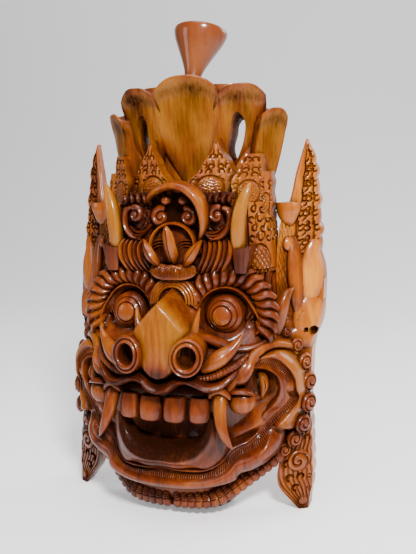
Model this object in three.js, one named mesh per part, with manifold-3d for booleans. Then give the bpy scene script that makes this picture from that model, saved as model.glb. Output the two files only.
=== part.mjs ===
// Carved barong mask standing on its chin and two leg boards. Millimetres, +Z up, front faces -Y.
import * as THREE from "three";
import { mergeVertices } from "three/addons/utils/BufferGeometryUtils.js";
import manifoldModule from "manifold-3d";

// ---- driving dimensions ---------------------------------------------------------------------------
const LEAN = 0.16;            // the whole mask leans back: y = v + LEAN * z
const CENTRE_Y = 0.6;          // shift that puts the middle of the depth on y = 0
const GAP = 0.3;              // clearance between separate pieces
const WALL = 17;              // side wall of the hollow head
const FACE_WALL = 34;         // carved thickness of the face, front to cavity
const CROWN_WALL = 15;        // thickness of the crown drum
const SOLE = 24;              // solid wood under the cavity
const PLATE = 14;             // flat plate closing the top of the crown
const CROWN_BASE = 332;
const CROWN_TOP = 436;
const EYE = { x: 51.7, v: -51, z: 206, r: 22, lift: 12 };
const NOSTRIL = { x: 31.5, v: -108, z: 174.5, r: 16, bore: 9.5, length: 50, splay: 13 };
const NOSE = { apexV: -109, apexZ: 224, cornerX: 26, cornerZ: 196, sideX: 16, sideZ: 160, tipV: -102, tipZ: 150 };
const MOUTH = { x: 50, top: 138, bottom: 66, depth: 25 };
const TOOTH = { width: 24, height: 21, depth: 15, z: 117 };
const CHEEK_HOLE = { x: 94, z: 144, rx: 13, rz: 17 };
const WING = { x: 126, yaw: 30, thick: 19, hornThick: 9 };
const FINIAL = { v: -27.5, leanX: 0.07, leanY: 0.27, stem: 6 };

// Outline stations of the head: height, half width, front v, squareness of the section.
const HEAD = [
  [0, 50, -30, 2.6], [10, 60, -46, 2.5], [25, 72, -62, 2.4], [45, 88, -73, 2.3], [68, 108, -77, 2.2],
  [90, 123, -78, 2.2], [112, 130, -80, 2.2], [135, 129, -82, 2.2], [158, 122, -80, 2.2],
  [180, 108, -68, 2.3], [203, 99, -54, 2.6], [230, 95, -50, 3], [262, 92, -50, 3.2], [325, 86, -52, 3.2],
  [CROWN_BASE, 79, -26, 2.6], [380, 78, -28, 2.6], [CROWN_TOP, 62, -34, 2.6],
];
const BACK_V = 2;

const wasm = await manifoldModule();
wasm.setup();

// ---- helpers --------------------------------------------------------------------------------------
const mix = (a, b, t) => a + (b - a) * t;
const lean = ([x, v, z]) => [x, v + LEAN * z + CENTRE_Y, z];
const span = (n) => Array.from({ length: n + 1 }, (_, i) => i / n);

function station(z, column) {
  const k = Math.min(HEAD.length - 2, Math.max(0, HEAD.findIndex((row) => row[0] > z) - 1));
  const at = HEAD.findIndex((row) => row[0] > z) === -1 ? HEAD.length - 2 : k;
  const t = THREE.MathUtils.clamp((z - HEAD[at][0]) / (HEAD[at + 1][0] - HEAD[at][0]), 0, 1);
  return mix(HEAD[at][column], HEAD[at + 1][column], t);
}

// v of the head's front surface at (x, z).
function frontV(x, z) {
  const [w, f, n] = [station(z, 1), station(z, 2), station(z, 3)];
  const u = Math.min(1, Math.abs(x) / w);
  return BACK_V - (BACK_V - f) * (1 - u ** n) ** (1 / n);
}

// Closed body from points and triangles; turned outwards if it came out inside out.
function body(points, triangles) {
  let volume = 0;
  const [a, b, c] = [new THREE.Vector3(), new THREE.Vector3(), new THREE.Vector3()];
  for (const [i, j, k] of triangles) {
    volume += a.fromArray(points[i]).dot(b.fromArray(points[j]).cross(c.fromArray(points[k])));
  }
  const tris = volume < 0 ? triangles.map(([i, j, k]) => [i, k, j]) : triangles;
  return new wasm.Manifold(new wasm.Mesh({
    numProp: 3, vertProperties: new Float32Array(points.flat()), triVerts: new Uint32Array(tris.flat()),
  }));
}

// Rings of equal length joined side by side, with a fan over each end.
function loft(rings) {
  const n = rings[0].length;
  const points = rings.flat();
  const tris = [];
  for (let r = 0; r + 1 < rings.length; r++) {
    for (let i = 0; i < n; i++) {
      const [p, q] = [r * n + i, r * n + ((i + 1) % n)];
      tris.push([p, q, q + n], [p, q + n, p + n]);
    }
  }
  for (const [r, flip] of [[0, true], [rings.length - 1, false]]) {
    const centre = [0, 1, 2].map((k) => rings[r].reduce((s, p) => s + p[k], 0) / n);
    points.push(centre);
    for (let i = 0; i < n; i++) {
      const [p, q] = [r * n + i, r * n + ((i + 1) % n)];
      tris.push(flip ? [points.length - 1, q, p] : [points.length - 1, p, q]);
    }
  }
  return body(points, tris);
}

// A body swept along a path of [x, v, z, radiusAcross, radiusDeep]; the section is an ellipse.
function sweep(path, sides = 6) {
  const at = path.map((p) => new THREE.Vector3(...lean(p)));
  const rings = at.map((p, i) => {
    const t = at[Math.min(i + 1, at.length - 1)].clone().sub(at[Math.max(i - 1, 0)]).normalize();
    const deep = new THREE.Vector3(0, -1, 0).addScaledVector(t, t.y).normalize();
    const across = new THREE.Vector3().crossVectors(t, deep);
    return span(sides).slice(0, sides).map((s) => {
      const q = p.clone().addScaledVector(across, path[i][3] * Math.cos(2 * Math.PI * s));
      return q.addScaledVector(deep, path[i][4] * Math.sin(2 * Math.PI * s)).toArray();
    });
  });
  return loft(rings);
}

// Points (x, z) lifted off the head's surface, with radii, ready for sweep.
const along = (rows, lift) => rows.map(([x, z, ra, rd]) => [x, frontV(x, z) - lift, z, ra, rd]);

// A flat board: outline in (x, z), between two faces v0 and v1; yaw shears it about x = pivot.
function board(outline, v0, v1, yaw = 0, pivot = 0, taper = () => 1) {
  const tan = Math.tan(THREE.MathUtils.degToRad(yaw));
  const shape = new THREE.Shape(outline.map(([x, z]) => new THREE.Vector2(x, z)));
  const flat = new THREE.ExtrudeGeometry(shape, { depth: 1, bevelEnabled: false, steps: 1 });
  flat.deleteAttribute("normal");
  flat.deleteAttribute("uv");
  const merged = mergeVertices(flat, 1e-4);
  const p = merged.attributes.position;
  const points = Array.from({ length: p.count }, (_, i) => {
    const [x, z, s] = [p.getX(i), p.getY(i), p.getZ(i)];
    return lean([x, (x - pivot) * tan + mix(v0, mix(v0, v1, taper(z)), s), z]);
  });
  const index = Array.from(merged.index.array);
  return body(points, span(index.length / 3 - 1).map((_, i) => index.slice(3 * i, 3 * i + 3)));
}

// A closed three.js geometry as a body.
function fromGeometry(geometry) {
  for (const name of ["normal", "uv"]) geometry.deleteAttribute(name);
  const merged = mergeVertices(geometry, 1e-4);
  const p = merged.attributes.position;
  const points = Array.from({ length: p.count }, (_, i) => [p.getX(i), p.getY(i), p.getZ(i)]);
  const index = Array.from(merged.index.array);
  const tris = span(index.length / 3 - 1).map((_, i) => index.slice(3 * i, 3 * i + 3));
  return body(points, tris.filter(([i, j, k]) => i !== j && j !== k && k !== i));
}

// An ellipsoid at (x, v, z) with radii (rx, rv, rz).
function ball(x, v, z, rx, rv, rz, w = 12, h = 8) {
  return fromGeometry(new THREE.SphereGeometry(1, w, h).scale(rx, rv, rz).translate(...lean([x, v, z])));
}

// A straight round bar from a to b (given as x, v, z) with radii ra and rb.
function bar(a, b, ra, rb, sides = 16) {
  const [p, q] = [new THREE.Vector3(...lean(a)), new THREE.Vector3(...lean(b))];
  const t = q.clone().sub(p).normalize();
  const side = new THREE.Vector3().crossVectors(t, new THREE.Vector3(0, 0, 1)).normalize();
  const up = new THREE.Vector3().crossVectors(side, t);
  return loft([[p, ra], [q, rb]].map(([c, r]) => span(sides).slice(0, sides).map((s) => c.clone()
    .addScaledVector(side, r * Math.cos(2 * Math.PI * s))
    .addScaledVector(up, r * Math.sin(2 * Math.PI * s)).toArray())));
}

const both = (make) => [make(1), make(-1)];
const join = (list) => list.flat(Infinity).reduce((a, b) => a.add(b));
const mirrorX = (rows, side) => rows.map(([x, ...rest]) => [x * side, ...rest]);

// ---- head -----------------------------------------------------------------------------------------
// Sections of the head between two heights; inset narrows them and moves the front back.
function headBody(levels, inset, frontInset, backV) {
  return loft(levels.map((z) => {
    const [w, f, n] = [station(z, 1) - inset, station(z, 2) + frontInset(z), station(z, 3)];
    const arc = span(16).map((s) => {
      const a = Math.PI * (s - 0.5);
      const x = w * Math.sign(Math.sin(a)) * Math.abs(Math.sin(a)) ** (2 / n);
      return lean([x, backV - (backV - f) * Math.abs(Math.cos(a)) ** (2 / n), z]);
    });
    return arc;
  }));
}

const outer = () => headBody(HEAD.map((row) => row[0]), 0, () => 0, BACK_V);
function cavity() {
  const levels = [SOLE, 45, 68, 112, 158, 203, 262, 345, CROWN_TOP - PLATE];
  const wall = (z) => (z < 230 ? FACE_WALL : z < 320 ? mix(FACE_WALL, 26, (z - 230) / 90) : CROWN_WALL);
  return headBody(levels, WALL, wall, BACK_V + 12);
}

// One crown petal: bottom and top midpoints, half widths, facing yaw, thickness and arch of its top.
function petal({ low, high, wLow, wHigh, yaw, thick, arch }) {
  const turn = THREE.MathUtils.degToRad(yaw);
  const rows = span(4).map((t) => {
    const w = mix(wLow, wHigh, t ** 0.85);
    const c = [mix(low[0], high[0], t), mix(low[1], high[1], t ** 1.6), mix(low[2], high[2], t)];
    const point = (s, back) => {
      const depth = -0.09 * w * (1 - s * s) + back * thick;
      const rise = t === 1 ? arch * (1 - s * s) + back * arch * 0.7 * (1 - s * s) : 0;
      const x = c[0] + s * w * Math.cos(turn) - depth * Math.sin(turn);
      return lean([x, c[1] + s * w * Math.sin(turn) + depth * Math.cos(turn), c[2] + rise]);
    };
    const across = span(4).map((u) => 2 * u - 1);
    return [...across.map((s) => point(s, 0)), ...across.map((s) => point(-s * 0.94, 1))];
  });
  return loft(rows);
}

const petals = () => [
  petal({ low: [0, -27, 335], high: [0, -48, 431], wLow: 4, wHigh: 37, yaw: 0, thick: 12, arch: 14 }),
  ...both((k) => petal({ low: [42 * k, -22, 336], high: [58 * k, -40, 423], wLow: 10, wHigh: 27,
    yaw: 14 * k, thick: 14, arch: 12 })),
  ...both((k) => petal({ low: [74 * k, -14, 314], high: [89 * k, -21, 402], wLow: 8, wHigh: 17,
    yaw: 44 * k, thick: 15, arch: 8 })),
];

// Drop-shaped opening through each second petal.
const dropHole = (k) => board(mirrorX([[58, 356], [67, 354], [73, 362], [76, 380], [76, 396], [71, 406],
  [64, 408], [59, 398], [57, 376]], k), -70, 12);

const leaves = () => both((k) => [
  board(mirrorX([[36, 380], [44, 362], [58, 340], [62, 318], [4, 318], [7, 336], [22, 352]], k), -50, -24,
    22 * k, 34 * k),
  board(mirrorX([[64, 363], [80, 362], [84, 340], [85, 312], [56, 314], [56, 338]], k), -43, -20,
    42 * k, 72 * k),
  board(mirrorX([[79, 345], [90, 345], [91, 300], [79, 300]], k), -34, -8),
]);

function forehead() {
  const arch = span(8).map((s) => {
    const a = Math.PI * (1.12 * s - 0.06);
    return [33 * Math.cos(a), -65, 302 + 30 * Math.sin(a), 5, 11];
  });
  const bridge = span(6).map((s) => {
    const a = Math.PI * s;
    return [27 * Math.cos(a), -57 + 2 * Math.sin(a), 219 + 20 * Math.sin(a), 6, 10];
  });
  const horns = both((k) => sweep([[64, -56, 262, 7, 7], [64, -62, 285, 8, 8], [67, -66, 305, 8, 8],
    [72, -66, 322, 6, 6], [78, -65, 336, 1.5, 1.5]].map(([x, ...r]) => [x * k, ...r]), 5));
  const blocks = both((k) => board(mirrorX([[58, 272], [80, 266], [78, 240], [66, 240]], k), -62, -40));
  const leaf = (x, z, dx) => sweep([[x, -70, z - 16, 5, 4], [x + dx * 0.3, -76, z, 8, 7],
    [x + dx, -73, z + 20, 1.5, 2]]);
  return [
    board([[-61, 327], [61, 327], [62, 252], [-62, 252]], -61, -34),
    sweep(arch), sweep(bridge), horns, blocks,
    bar([0, -54, 274], [0, -68, 274], 23, 18), leaf(0, 274, 0), leaf(19, 266, 10), leaf(-19, 266, -10),
    board([[-24, 262], [24, 262], [28, 248], [10, 243], [-10, 243], [-28, 248]], -64, -40),
  ];
}

// Fan of the brow over each eye; grow fattens it where a wing has to clear it.
const brow = (k, grow = 0) => sweep(span(8).map((s) => {
  const a = THREE.MathUtils.degToRad(mix(172, -8, s));
  const [x, z] = [EYE.x + 5 + 39 * Math.cos(a), EYE.z + 3 + 39 * Math.sin(a)];
  return [x * k, frontV(x, z) - 1, z, 9 + grow, 9 + grow];
}));

// Smooth band that curls round the cheek hole.
const band = (k, grow = 0) => sweep(along([[66, 152, 5, 6], [76, 164, 8, 8], [90, 176, 9, 9], [106, 176, 9, 10],
  [117, 163, 9, 10], [121, 145, 10, 10], [121, 125, 11, 10], [117, 107, 11, 10], [107, 96, 9, 8]], 2)
  .map(([x, v, z, ra, rd]) => [x * k, v, z, ra + grow, rd + grow]));

function face() {
  const eye = (k) => ball(EYE.x * k, EYE.v + 10, EYE.z, EYE.r, EYE.lift + 10, EYE.r, 12, 6);
  const lid = (k) => sweep(span(8).map((s) => {
    const a = 2 * Math.PI * s * 0.93 - 2.1;
    const stretch = 1 + 0.35 * Math.max(0, Math.cos(a + 0.5)) ** 6;
    const [x, z] = [EYE.x + 25 * stretch * Math.cos(a), EYE.z + 25 * Math.sin(a)];
    return [x * k, frontV(x, z) - 1, z, 4.5, 6];
  }), 5);
  const { apexV, apexZ, cornerX, cornerZ, sideX, sideZ, tipV, tipZ } = NOSE;
  const nosePlan = [[0, apexV, apexZ], [cornerX, apexV + 4, cornerZ], [sideX, tipV, sideZ],
    [0, tipV + 1, tipZ], [-sideX, tipV, sideZ], [-cornerX, apexV + 4, cornerZ]];
  const nose = loft([nosePlan.map(lean), nosePlan.map(([x, v, z]) => lean([x * 1.25, -45, mix(z, 190, -0.12)]))]);
  const { x, v, z, r, length, splay } = NOSTRIL;
  const out = Math.tan(THREE.MathUtils.degToRad(splay));
  const tube = (k) => bar([x * k, v, z], [(x - length * out) * k, v + length, z + 2], r, r, 10);
  const thorn = (k) => sweep([[14, -82, 188, 7, 6], [19, -72, 197, 5, 5], [25, -70, 211, 1.2, 1.2]]
    .map(([a, ...b]) => [a * k, ...b]));
  const tache = (k) => sweep([[36, -94, 158, 6, 6], [50, -88, 164, 8, 7], [63, -80, 174, 7, 6],
    [72, -74, 190, 1.5, 1.5]].map(([a, ...b]) => [a * k, ...b]), 5);
  const lip = sweep(span(12).map((s) => {
    const u = 2 * s - 1;
    const [px, pz] = [70 * u, 145 + 5 * Math.cos(u * 9.2) * -1 + 6 * Math.abs(u) ** 5];
    return [px, frontV(px, pz) - 7 + 6 * u * u, pz, mix(5.5, 3, Math.abs(u)), mix(12, 7, u * u)];
  }));
  const roll = (k) => sweep(along([[30, 151, 5, 6], [48, 152, 6, 7], [66, 158, 6, 7], [78, 166, 4, 5]], 5)
    .map(([a, ...b]) => [a * k, ...b]), 5);
  const jowl = (k) => sweep(along([[60, 56, 5, 5], [72, 64, 9, 8], [88, 75, 11, 9], [102, 86, 10, 8],
    [110, 94, 5, 4]], 1).map(([a, ...b]) => [a * k, ...b]), 5);
  const lowerLip = sweep(span(8).map((s) => {
    const u = 2 * s - 1;
    const [px, pz] = [62 * u, 46 + 12 * u * u * u * u];
    return [px, frontV(px, pz) + 1, pz, 10, 9];
  }));
  const gum = (k) => ball(76 * k, frontV(76, 126) - 1, 126, 13, 9, 12, 8, 4);
  return [both(eye), both(lid), both((k) => brow(k)), nose, both(tube), both(thorn), both(tache), lip, both(roll),
    both((k) => band(k)), both(jowl), lowerLip, both(gum)];
}

// Scalloped border: a row of knobs up each side of the jaw and along the chin.
function border(grow = 0) {
  const path = new THREE.CatmullRomCurve3([[0, -44, 6], [30, -42, 7], [49, -34, 10], [68, -28, 25],
    [86, -24, 46], [99, -22, 58], [110, -20, 70], [121, -16, 80], [129, -15, 93], [132, -13, 111],
    [130, -12, 131], [125, -11, 152], [115, -10, 166], [106, -9, 178]].map((p) => new THREE.Vector3(...p)));
  return both((k) => path.getSpacedPoints(10).slice(k > 0 ? 0 : 1).map((p) =>
    ball(p.x * k, p.y, p.z, 6.4 + grow, 6.2 + grow, 6.4 + grow, 6, 3)));
}

function mouthCut() {
  const { x, top, bottom, depth } = MOUTH;
  const mid = (top + bottom) / 2;
  return loft([[-30, 1.06], [depth - 6, 0.9], [depth, 0.72]].map(([d, f]) => span(14).slice(0, 14).map((s) => {
    const a = 2 * Math.PI * s;
    const px = x * f * Math.sign(Math.cos(a)) * Math.abs(Math.cos(a)) ** 0.6;
    const pz = mid + (top - mid) * f * Math.sign(Math.sin(a)) * Math.abs(Math.sin(a)) ** 0.75;
    return lean([px, -80 + d, pz]);
  })));
}

function teeth() {
  const { width, height, depth, z } = TOOTH;
  return both((k) => [12.6, 36.5].map((x, i) => {
    const v = -83 + 5 * i;
    const yaw = -12 * i * k;
    const w = (width - 2 * i) / 2;
    return loft([[height * 0.55, 0.95], [2, 1], [-height * 0.32, 1], [-height * 0.5, 0.78]].map(([dz, f]) =>
      span(8).slice(0, 8).map((s) => {
        const a = 2 * Math.PI * s;
        const [px, py] = [w * f * Math.cos(a), depth * f * (Math.sin(a) * 0.5)];
        const turn = THREE.MathUtils.degToRad(-yaw);
        return lean([x * k + px * Math.cos(turn) - py * Math.sin(turn),
          v + 6 + px * Math.sin(turn) + py * Math.cos(turn), z + dz]);
      })));
  }));
}

function mouthFill() {
  const fang = (k) => sweep([[54, -66, 138, 7, 7], [57, -74, 122, 6.5, 6], [61, -79, 104, 5, 4.5],
    [68, -77, 84, 1.2, 1.2]].map(([a, ...b]) => [a * k, ...b]));
  const gumBar = board([[-50, 142], [50, 142], [50, 120], [-50, 120]], -74, -42);
  const tongue = ball(0, -52, 66, 36, 30, 12, 10, 6);
  return [teeth(), both(fang), gumBar, tongue];
}

function cheekCut(k) {
  const { x, z, rx, rz } = CHEEK_HOLE;
  return loft([[-50, 1.5], [0, 1], [60, 0.9]].map(([d, f]) => span(10).slice(0, 10).map((s) => {
    const a = 2 * Math.PI * s;
    return lean([(x - 2 + rx * f * Math.cos(a)) * k, frontV(x, z) + 12 + d, z + rz * f * Math.sin(a)]);
  })));
}
const cheekTusk = (k) => sweep([[90, -46, 126, 4, 4], [95, -50, 138, 5, 4.5], [93, -48, 152, 3.5, 3.5],
  [86, -42, 163, 2, 2]].map(([a, ...b]) => [a * k, ...b]), 6);

function nostrilCut(k) {
  const { x, v, z, bore, splay } = NOSTRIL;
  const out = Math.tan(THREE.MathUtils.degToRad(splay));
  return bar([(x + 2 * out) * k, v - 4, z], [(x - 24 * out) * k, v + 24, z + 1], bore, bore - 1, 8);
}

// Keep the one outward body: sealed pockets are filled and loose crumbs dropped.
function oneBody(manifold) {
  const { vertProperties: p, triVerts: t } = manifold.getMesh();
  const root = Uint32Array.from({ length: p.length / 3 }, (_, i) => i);
  const find = (i) => {
    while (root[i] !== i) i = root[i] = root[root[i]];
    return i;
  };
  for (let i = 0; i < t.length; i += 3) {
    root[find(t[i])] = find(t[i + 1]);
    root[find(t[i + 1])] = find(t[i + 2]);
  }
  const volumes = new Map();
  const at = (i) => new THREE.Vector3(p[3 * i], p[3 * i + 1], p[3 * i + 2]);
  for (let i = 0; i < t.length; i += 3) {
    const v = at(t[i]).dot(at(t[i + 1]).cross(at(t[i + 2])));
    volumes.set(find(t[i]), (volumes.get(find(t[i])) ?? 0) + v);
  }
  const keep = [...volumes].reduce((a, b) => (b[1] > a[1] ? b : a))[0];
  const points = span(p.length / 3 - 1).map((_, i) => at(i).toArray());
  const tris = span(t.length / 3 - 1).map((_, i) => [t[3 * i], t[3 * i + 1], t[3 * i + 2]])
    .filter(([i]) => find(i) === keep);
  return body(points, tris);
}

function head() {
  const raised = join([outer(), petals(), leaves(), forehead(), face(), border()]);
  const ground = board([[-200, -40], [200, -40], [200, 0], [-200, 0]], -200, 200);
  const cuts = join([cavity(), mouthCut(), both(cheekCut), both(nostrilCut), both(dropHole), ground]);
  const inside = join([mouthFill(), both(cheekTusk)]);
  return oneBody(raised.subtract(cuts).add(inside.subtract(cavity())));
}

// ---- side wings: horn, ear and leg cut from one board ------------------------------------------------
function wing(k) {
  const outline = [[121, 0], [131, 0], [133, 34], [132, 70], [130, 100], [130, 140], [132, 172], [138, 190],
    [140, 214], [138, 246], [134, 270], [134, 300], [131, 318], [130, 346], [126, 360],
    [119, 378], [115, 362], [111, 346], [104, 312], [82, 312], [84, 301], [97, 292], [95, 264],
    [95, 225], [97, 187], [104, 150], [106, 110], [104, 63], [102, 28], [112, 11]];
  const { x, yaw, thick, hornThick } = WING;
  const taper = (z) => mix(1, hornThick / thick, THREE.MathUtils.clamp((z - 230) / 140, 0, 1));
  const slab = board(mirrorX(outline, k), 0, thick, yaw * k, x * k, taper);
  const at = (px, v) => v + (px - x) * Math.tan(THREE.MathUtils.degToRad(yaw));
  const sheared = (rows) => rows.map(([px, v, ...r]) => [px * k, at(px, v), ...r]);
  const ear = sweep(sheared([[116, 2, 256, 4, 4], [121, -2, 238, 12, 8], [124, -5, 214, 15, 11],
    [124, -5, 192, 15, 11], [124, -2, 174, 11, 8], [123, 2, 166, 5, 4]]), 10);
  const hook = sweep(sheared([[103, 2, 183, 4, 5], [97, -2, 194, 6, 6], [95, -4, 208, 6, 6],
    [98, -8, 220, 5, 5], [105, -10, 227, 1.5, 1.5]]));
  const rim = sweep(sheared([[106, 0, 308, 4, 4], [112, -2, 335, 4, 4], [117, 0, 362, 2.5, 2.5]]), 6);
  const scroll = ball(116 * k, at(116, 2), 52, 9, 6, 9, 8, 5);
  const hole = bar([129 * k, at(129, -40), 184], [129 * k, at(129, 60), 184], 4, 4, 10);
  const clear = headBody(HEAD.map((row) => row[0]), -GAP, () => -GAP, BACK_V + GAP);
  const leafSide = board(mirrorX([[70, 346], [91 + GAP, 346], [91 + GAP, 299], [70, 299]], k), -40, -8 + GAP);
  const whole = join([slab, ear, hook, rim, scroll]).subtract(hole);
  const near = join([clear, leafSide, border(2 * GAP), brow(k, 2 * GAP), band(k, 2 * GAP)]);
  return oneBody(whole.subtract(near));
}

// ---- finial -----------------------------------------------------------------------------------------
// Turned cup on a stem, leaning with its seat cut flat where it stands on the crown plate.
function finial() {
  const { v, leanX, leanY, stem } = FINIAL;
  const profile = [[0, -stem], [7.8, -stem], [8, 6], [9.6, 14], [14.5, 26], [20.5, 38], [25, 48], [26.6, 56],
    [25.4, 57.5], [20, 53], [10, 49], [0, 48]];
  const g = new THREE.LatheGeometry(profile.map(([r, h]) => new THREE.Vector2(r, h)), 18);
  g.applyQuaternion(new THREE.Quaternion().setFromUnitVectors(new THREE.Vector3(0, 1, 0),
    new THREE.Vector3(leanX, leanY, 1).normalize()));
  g.translate(0, v + LEAN * CROWN_TOP + CENTRE_Y, CROWN_TOP);
  const top = CROWN_TOP + GAP;
  const below = board([[-60, top - 40], [60, top - 40], [60, top], [-60, top]], -90, 30);
  return fromGeometry(g).subtract(below);
}

// ---- assembly -----------------------------------------------------------------------------------------
function mesh(name, manifold, colour) {
  const m = manifold.getMesh();
  const g = new THREE.BufferGeometry();
  g.setAttribute("position", new THREE.BufferAttribute(new Float32Array(m.vertProperties), 3));
  g.setIndex(Array.from(m.triVerts));
  return named(name, g, colour);
}

function named(name, geometry, colour) {
  const material = new THREE.MeshStandardMaterial({ color: colour, roughness: 0.4, side: THREE.DoubleSide });
  material.name = name;
  const part = new THREE.Mesh(geometry, material);
  part.name = name;
  return part;
}

function build() {
  const mask = new THREE.Group();
  mask.name = "barong_mask";
  mask.add(mesh("head", head(), 0x9a5426));
  mask.add(mesh("wing_right", wing(1), 0xa65f2c));
  mask.add(mesh("wing_left", wing(-1), 0xa65f2c));
  mask.add(mesh("finial", finial(), 0x8a3f1e));
  return mask;
}

export default build();
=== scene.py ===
"""Carved barong mask: head, two wing boards and a turned finial, standing on a pale floor."""

import sys
import logging
import math
from collections.abc import Callable, Sequence
from dataclasses import dataclass, field
from enum import Enum

import bpy
import numpy as np
from mathutils import Matrix
from numpy.typing import NDArray


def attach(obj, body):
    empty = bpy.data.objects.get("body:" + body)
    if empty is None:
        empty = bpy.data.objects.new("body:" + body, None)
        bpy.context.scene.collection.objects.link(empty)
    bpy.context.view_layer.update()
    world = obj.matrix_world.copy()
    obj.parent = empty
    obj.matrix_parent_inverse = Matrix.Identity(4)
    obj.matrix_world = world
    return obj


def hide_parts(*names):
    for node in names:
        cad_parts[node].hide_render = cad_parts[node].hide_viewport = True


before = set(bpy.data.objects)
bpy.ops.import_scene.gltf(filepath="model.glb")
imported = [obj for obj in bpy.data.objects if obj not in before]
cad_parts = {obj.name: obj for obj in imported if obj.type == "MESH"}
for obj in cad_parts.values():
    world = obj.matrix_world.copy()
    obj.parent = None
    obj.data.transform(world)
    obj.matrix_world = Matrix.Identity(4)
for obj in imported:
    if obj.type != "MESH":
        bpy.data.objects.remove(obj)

Array = NDArray[np.float64]
Rows = Sequence[Sequence[float]]
Triple = tuple[float, float, float]
Pairs = tuple[tuple[float, float], ...]
Piece = bpy.types.Object
log = logging.getLogger("mask")

LEAN = 0.16  # the mask leans back: y = v + LEAN * z
CENTRE_Y = 0.6
MM = 0.001
BACK_V = 2.0
CROWN_BASE = 332.0
CROWN_TOP = 436.0
EYE_X, EYE_Z = 51.7, 206.0  # middle of each eye
HOLE_X, HOLE_Z = 93.0, 141.0  # middle of the sunken ground round each cheek hole
# height, half width, front v, squareness of the head's section
STATIONS: Array = np.array([
    (0, 50, -30, 2.6), (10, 60, -46, 2.5), (25, 72, -62, 2.4), (45, 88, -73, 2.3), (68, 108, -77, 2.2),
    (90, 123, -78, 2.2), (112, 130, -80, 2.2), (135, 129, -82, 2.2), (158, 122, -80, 2.2),
    (180, 108, -68, 2.3), (203, 99, -54, 2.6), (230, 95, -50, 3), (262, 92, -50, 3.2), (325, 86, -52, 3.2),
    (CROWN_BASE, 79, -26, 2.6), (380, 78, -28, 2.6), (410, 76, -31, 2.6), (CROWN_TOP, 62, -34, 2.6)], float)


class Side(Enum):
    """Which side of the mask a mirrored part is on, as seen by someone facing it."""

    RIGHT = 1.0
    LEFT = -1.0


# ---- shape helpers ----
def station(z: Array, column: int) -> Array:
    """Straight-line value of one station column at heights z.

    Args:
        z: Heights in millimetres.
        column: Column of STATIONS.

    Returns:
        The column's value at each height.
    """
    return np.interp(z, STATIONS[:, 0], STATIONS[:, column])


def front_v(x: Array, z: Array) -> Array:
    """Front of the head: v = back - depth * (1 - |x / w|^n)^(1 / n), a superellipse at each height.

    Args:
        x: Sideways places.
        z: Heights.

    Returns:
        v of the skin at each place.
    """
    w, f, n = station(z, 1), station(z, 2), station(z, 3)
    u = np.clip(np.abs(x) / w, 0.0, 1.0)
    return BACK_V - (BACK_V - f) * (1.0 - u**n) ** (1.0 / n)


def place(points: Array) -> Array:
    """Turn design millimetres (x, v, z) into frame metres by the lean shear.

    Args:
        points: Rows of x, v, z.

    Returns:
        Rows of x, y, z in metres.
    """
    out = np.array(points, float)
    out[..., 1] = out[..., 1] + LEAN * out[..., 2] + CENTRE_Y
    return out * MM


def hermite(rows: Array, knots: Array, at: Array) -> Array:
    """Cubic Hermite pieces through rows along their first axis, with finite-difference tangents.

    Args:
        rows: Values at the knots, (n, ...).
        knots: Increasing parameter of each row.
        at: Parameters wanted.

    Returns:
        Values at the wanted parameters.
    """
    m = np.gradient(rows, knots, axis=0)
    i = np.clip(np.searchsorted(knots, at, side="right") - 1, 0, len(knots) - 2)
    shape = (-1,) + (1,) * (rows.ndim - 1)
    h = (knots[i + 1] - knots[i]).reshape(shape)
    t = ((at - knots[i]).reshape(shape)) / h
    return ((1 + 2 * t) * (1 - t) ** 2 * rows[i] + t * (1 - t) ** 2 * h * m[i]
            + t * t * (3 - 2 * t) * rows[i + 1] + t * t * (t - 1) * h * m[i + 1])


def flow(rows: Rows | Array, count: int) -> Array:
    """Smooth line through rows: cubic Hermite pieces with finite-difference tangents over chord length.

    Args:
        rows: Control rows; the first three columns are the place, the rest are carried along.
        count: Number of rows wanted.

    Returns:
        Array of count rows.
    """
    p = np.asarray(rows, float)
    step = np.linalg.norm(np.diff(p[:, :3], axis=0), axis=1)
    t = np.concatenate([[0.0], np.cumsum(np.maximum(step, 1e-6))])
    return hermite(p, t, np.linspace(0.0, t[-1], count))


def ease(x: Array, low: float, high: float) -> Array:
    """Ease from 0 below low to 1 above high."""
    t = np.clip((np.asarray(x, float) - low) / (high - low), 0.0, 1.0)
    return t * t * (3 - 2 * t)


def bell(x: Array, middle: float, width: float) -> Array:
    """Bump of height 1 at the middle: exp(-((x - middle) / width)^2)."""
    return np.exp(-(((x - middle) / width) ** 2))


def signed_power(x: Array, power: float | Array) -> Array:
    """|x| to the power, with the sign of x, as superellipses use."""
    return np.sign(x) * np.abs(x) ** power


def around(count: int) -> Array:
    """Angles of count even steps round a full turn."""
    return np.linspace(0, 2 * np.pi, count, endpoint=False)


def grid(x: float | Array, v: float | Array, z: float | Array) -> Array:
    """Places from x, v and z, spread to one shape, with the three on the last axis."""
    return np.stack(np.broadcast_arrays(x, v, z), axis=-1)


def outline_distance(x: Array, z: Array, loop: Array) -> Array:
    """Distance to a closed outline, positive inside: nearest point on each edge, sign by crossing count.

    Args:
        x: Sideways places.
        z: Heights.
        loop: Outline rows of x, z.

    Returns:
        Signed distance at each place.
    """
    a, b = loop, np.roll(loop, -1, axis=0)
    px, pz = x[..., None] - a[:, 0], z[..., None] - a[:, 1]
    ex, ez = b[:, 0] - a[:, 0], b[:, 1] - a[:, 1]
    t = np.clip((px * ex + pz * ez) / (ex * ex + ez * ez + 1e-9), 0.0, 1.0)
    d = np.sqrt(((px - t * ex) ** 2 + (pz - t * ez) ** 2).min(axis=-1))
    crosses = ((a[:, 1] > z[..., None]) != (b[:, 1] > z[..., None])) & (
        x[..., None] < a[:, 0] + (z[..., None] - a[:, 1]) * ex / np.where(ez == 0, 1e-9, ez))
    return np.where(crosses.sum(axis=-1) % 2 == 1, d, -d)


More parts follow.
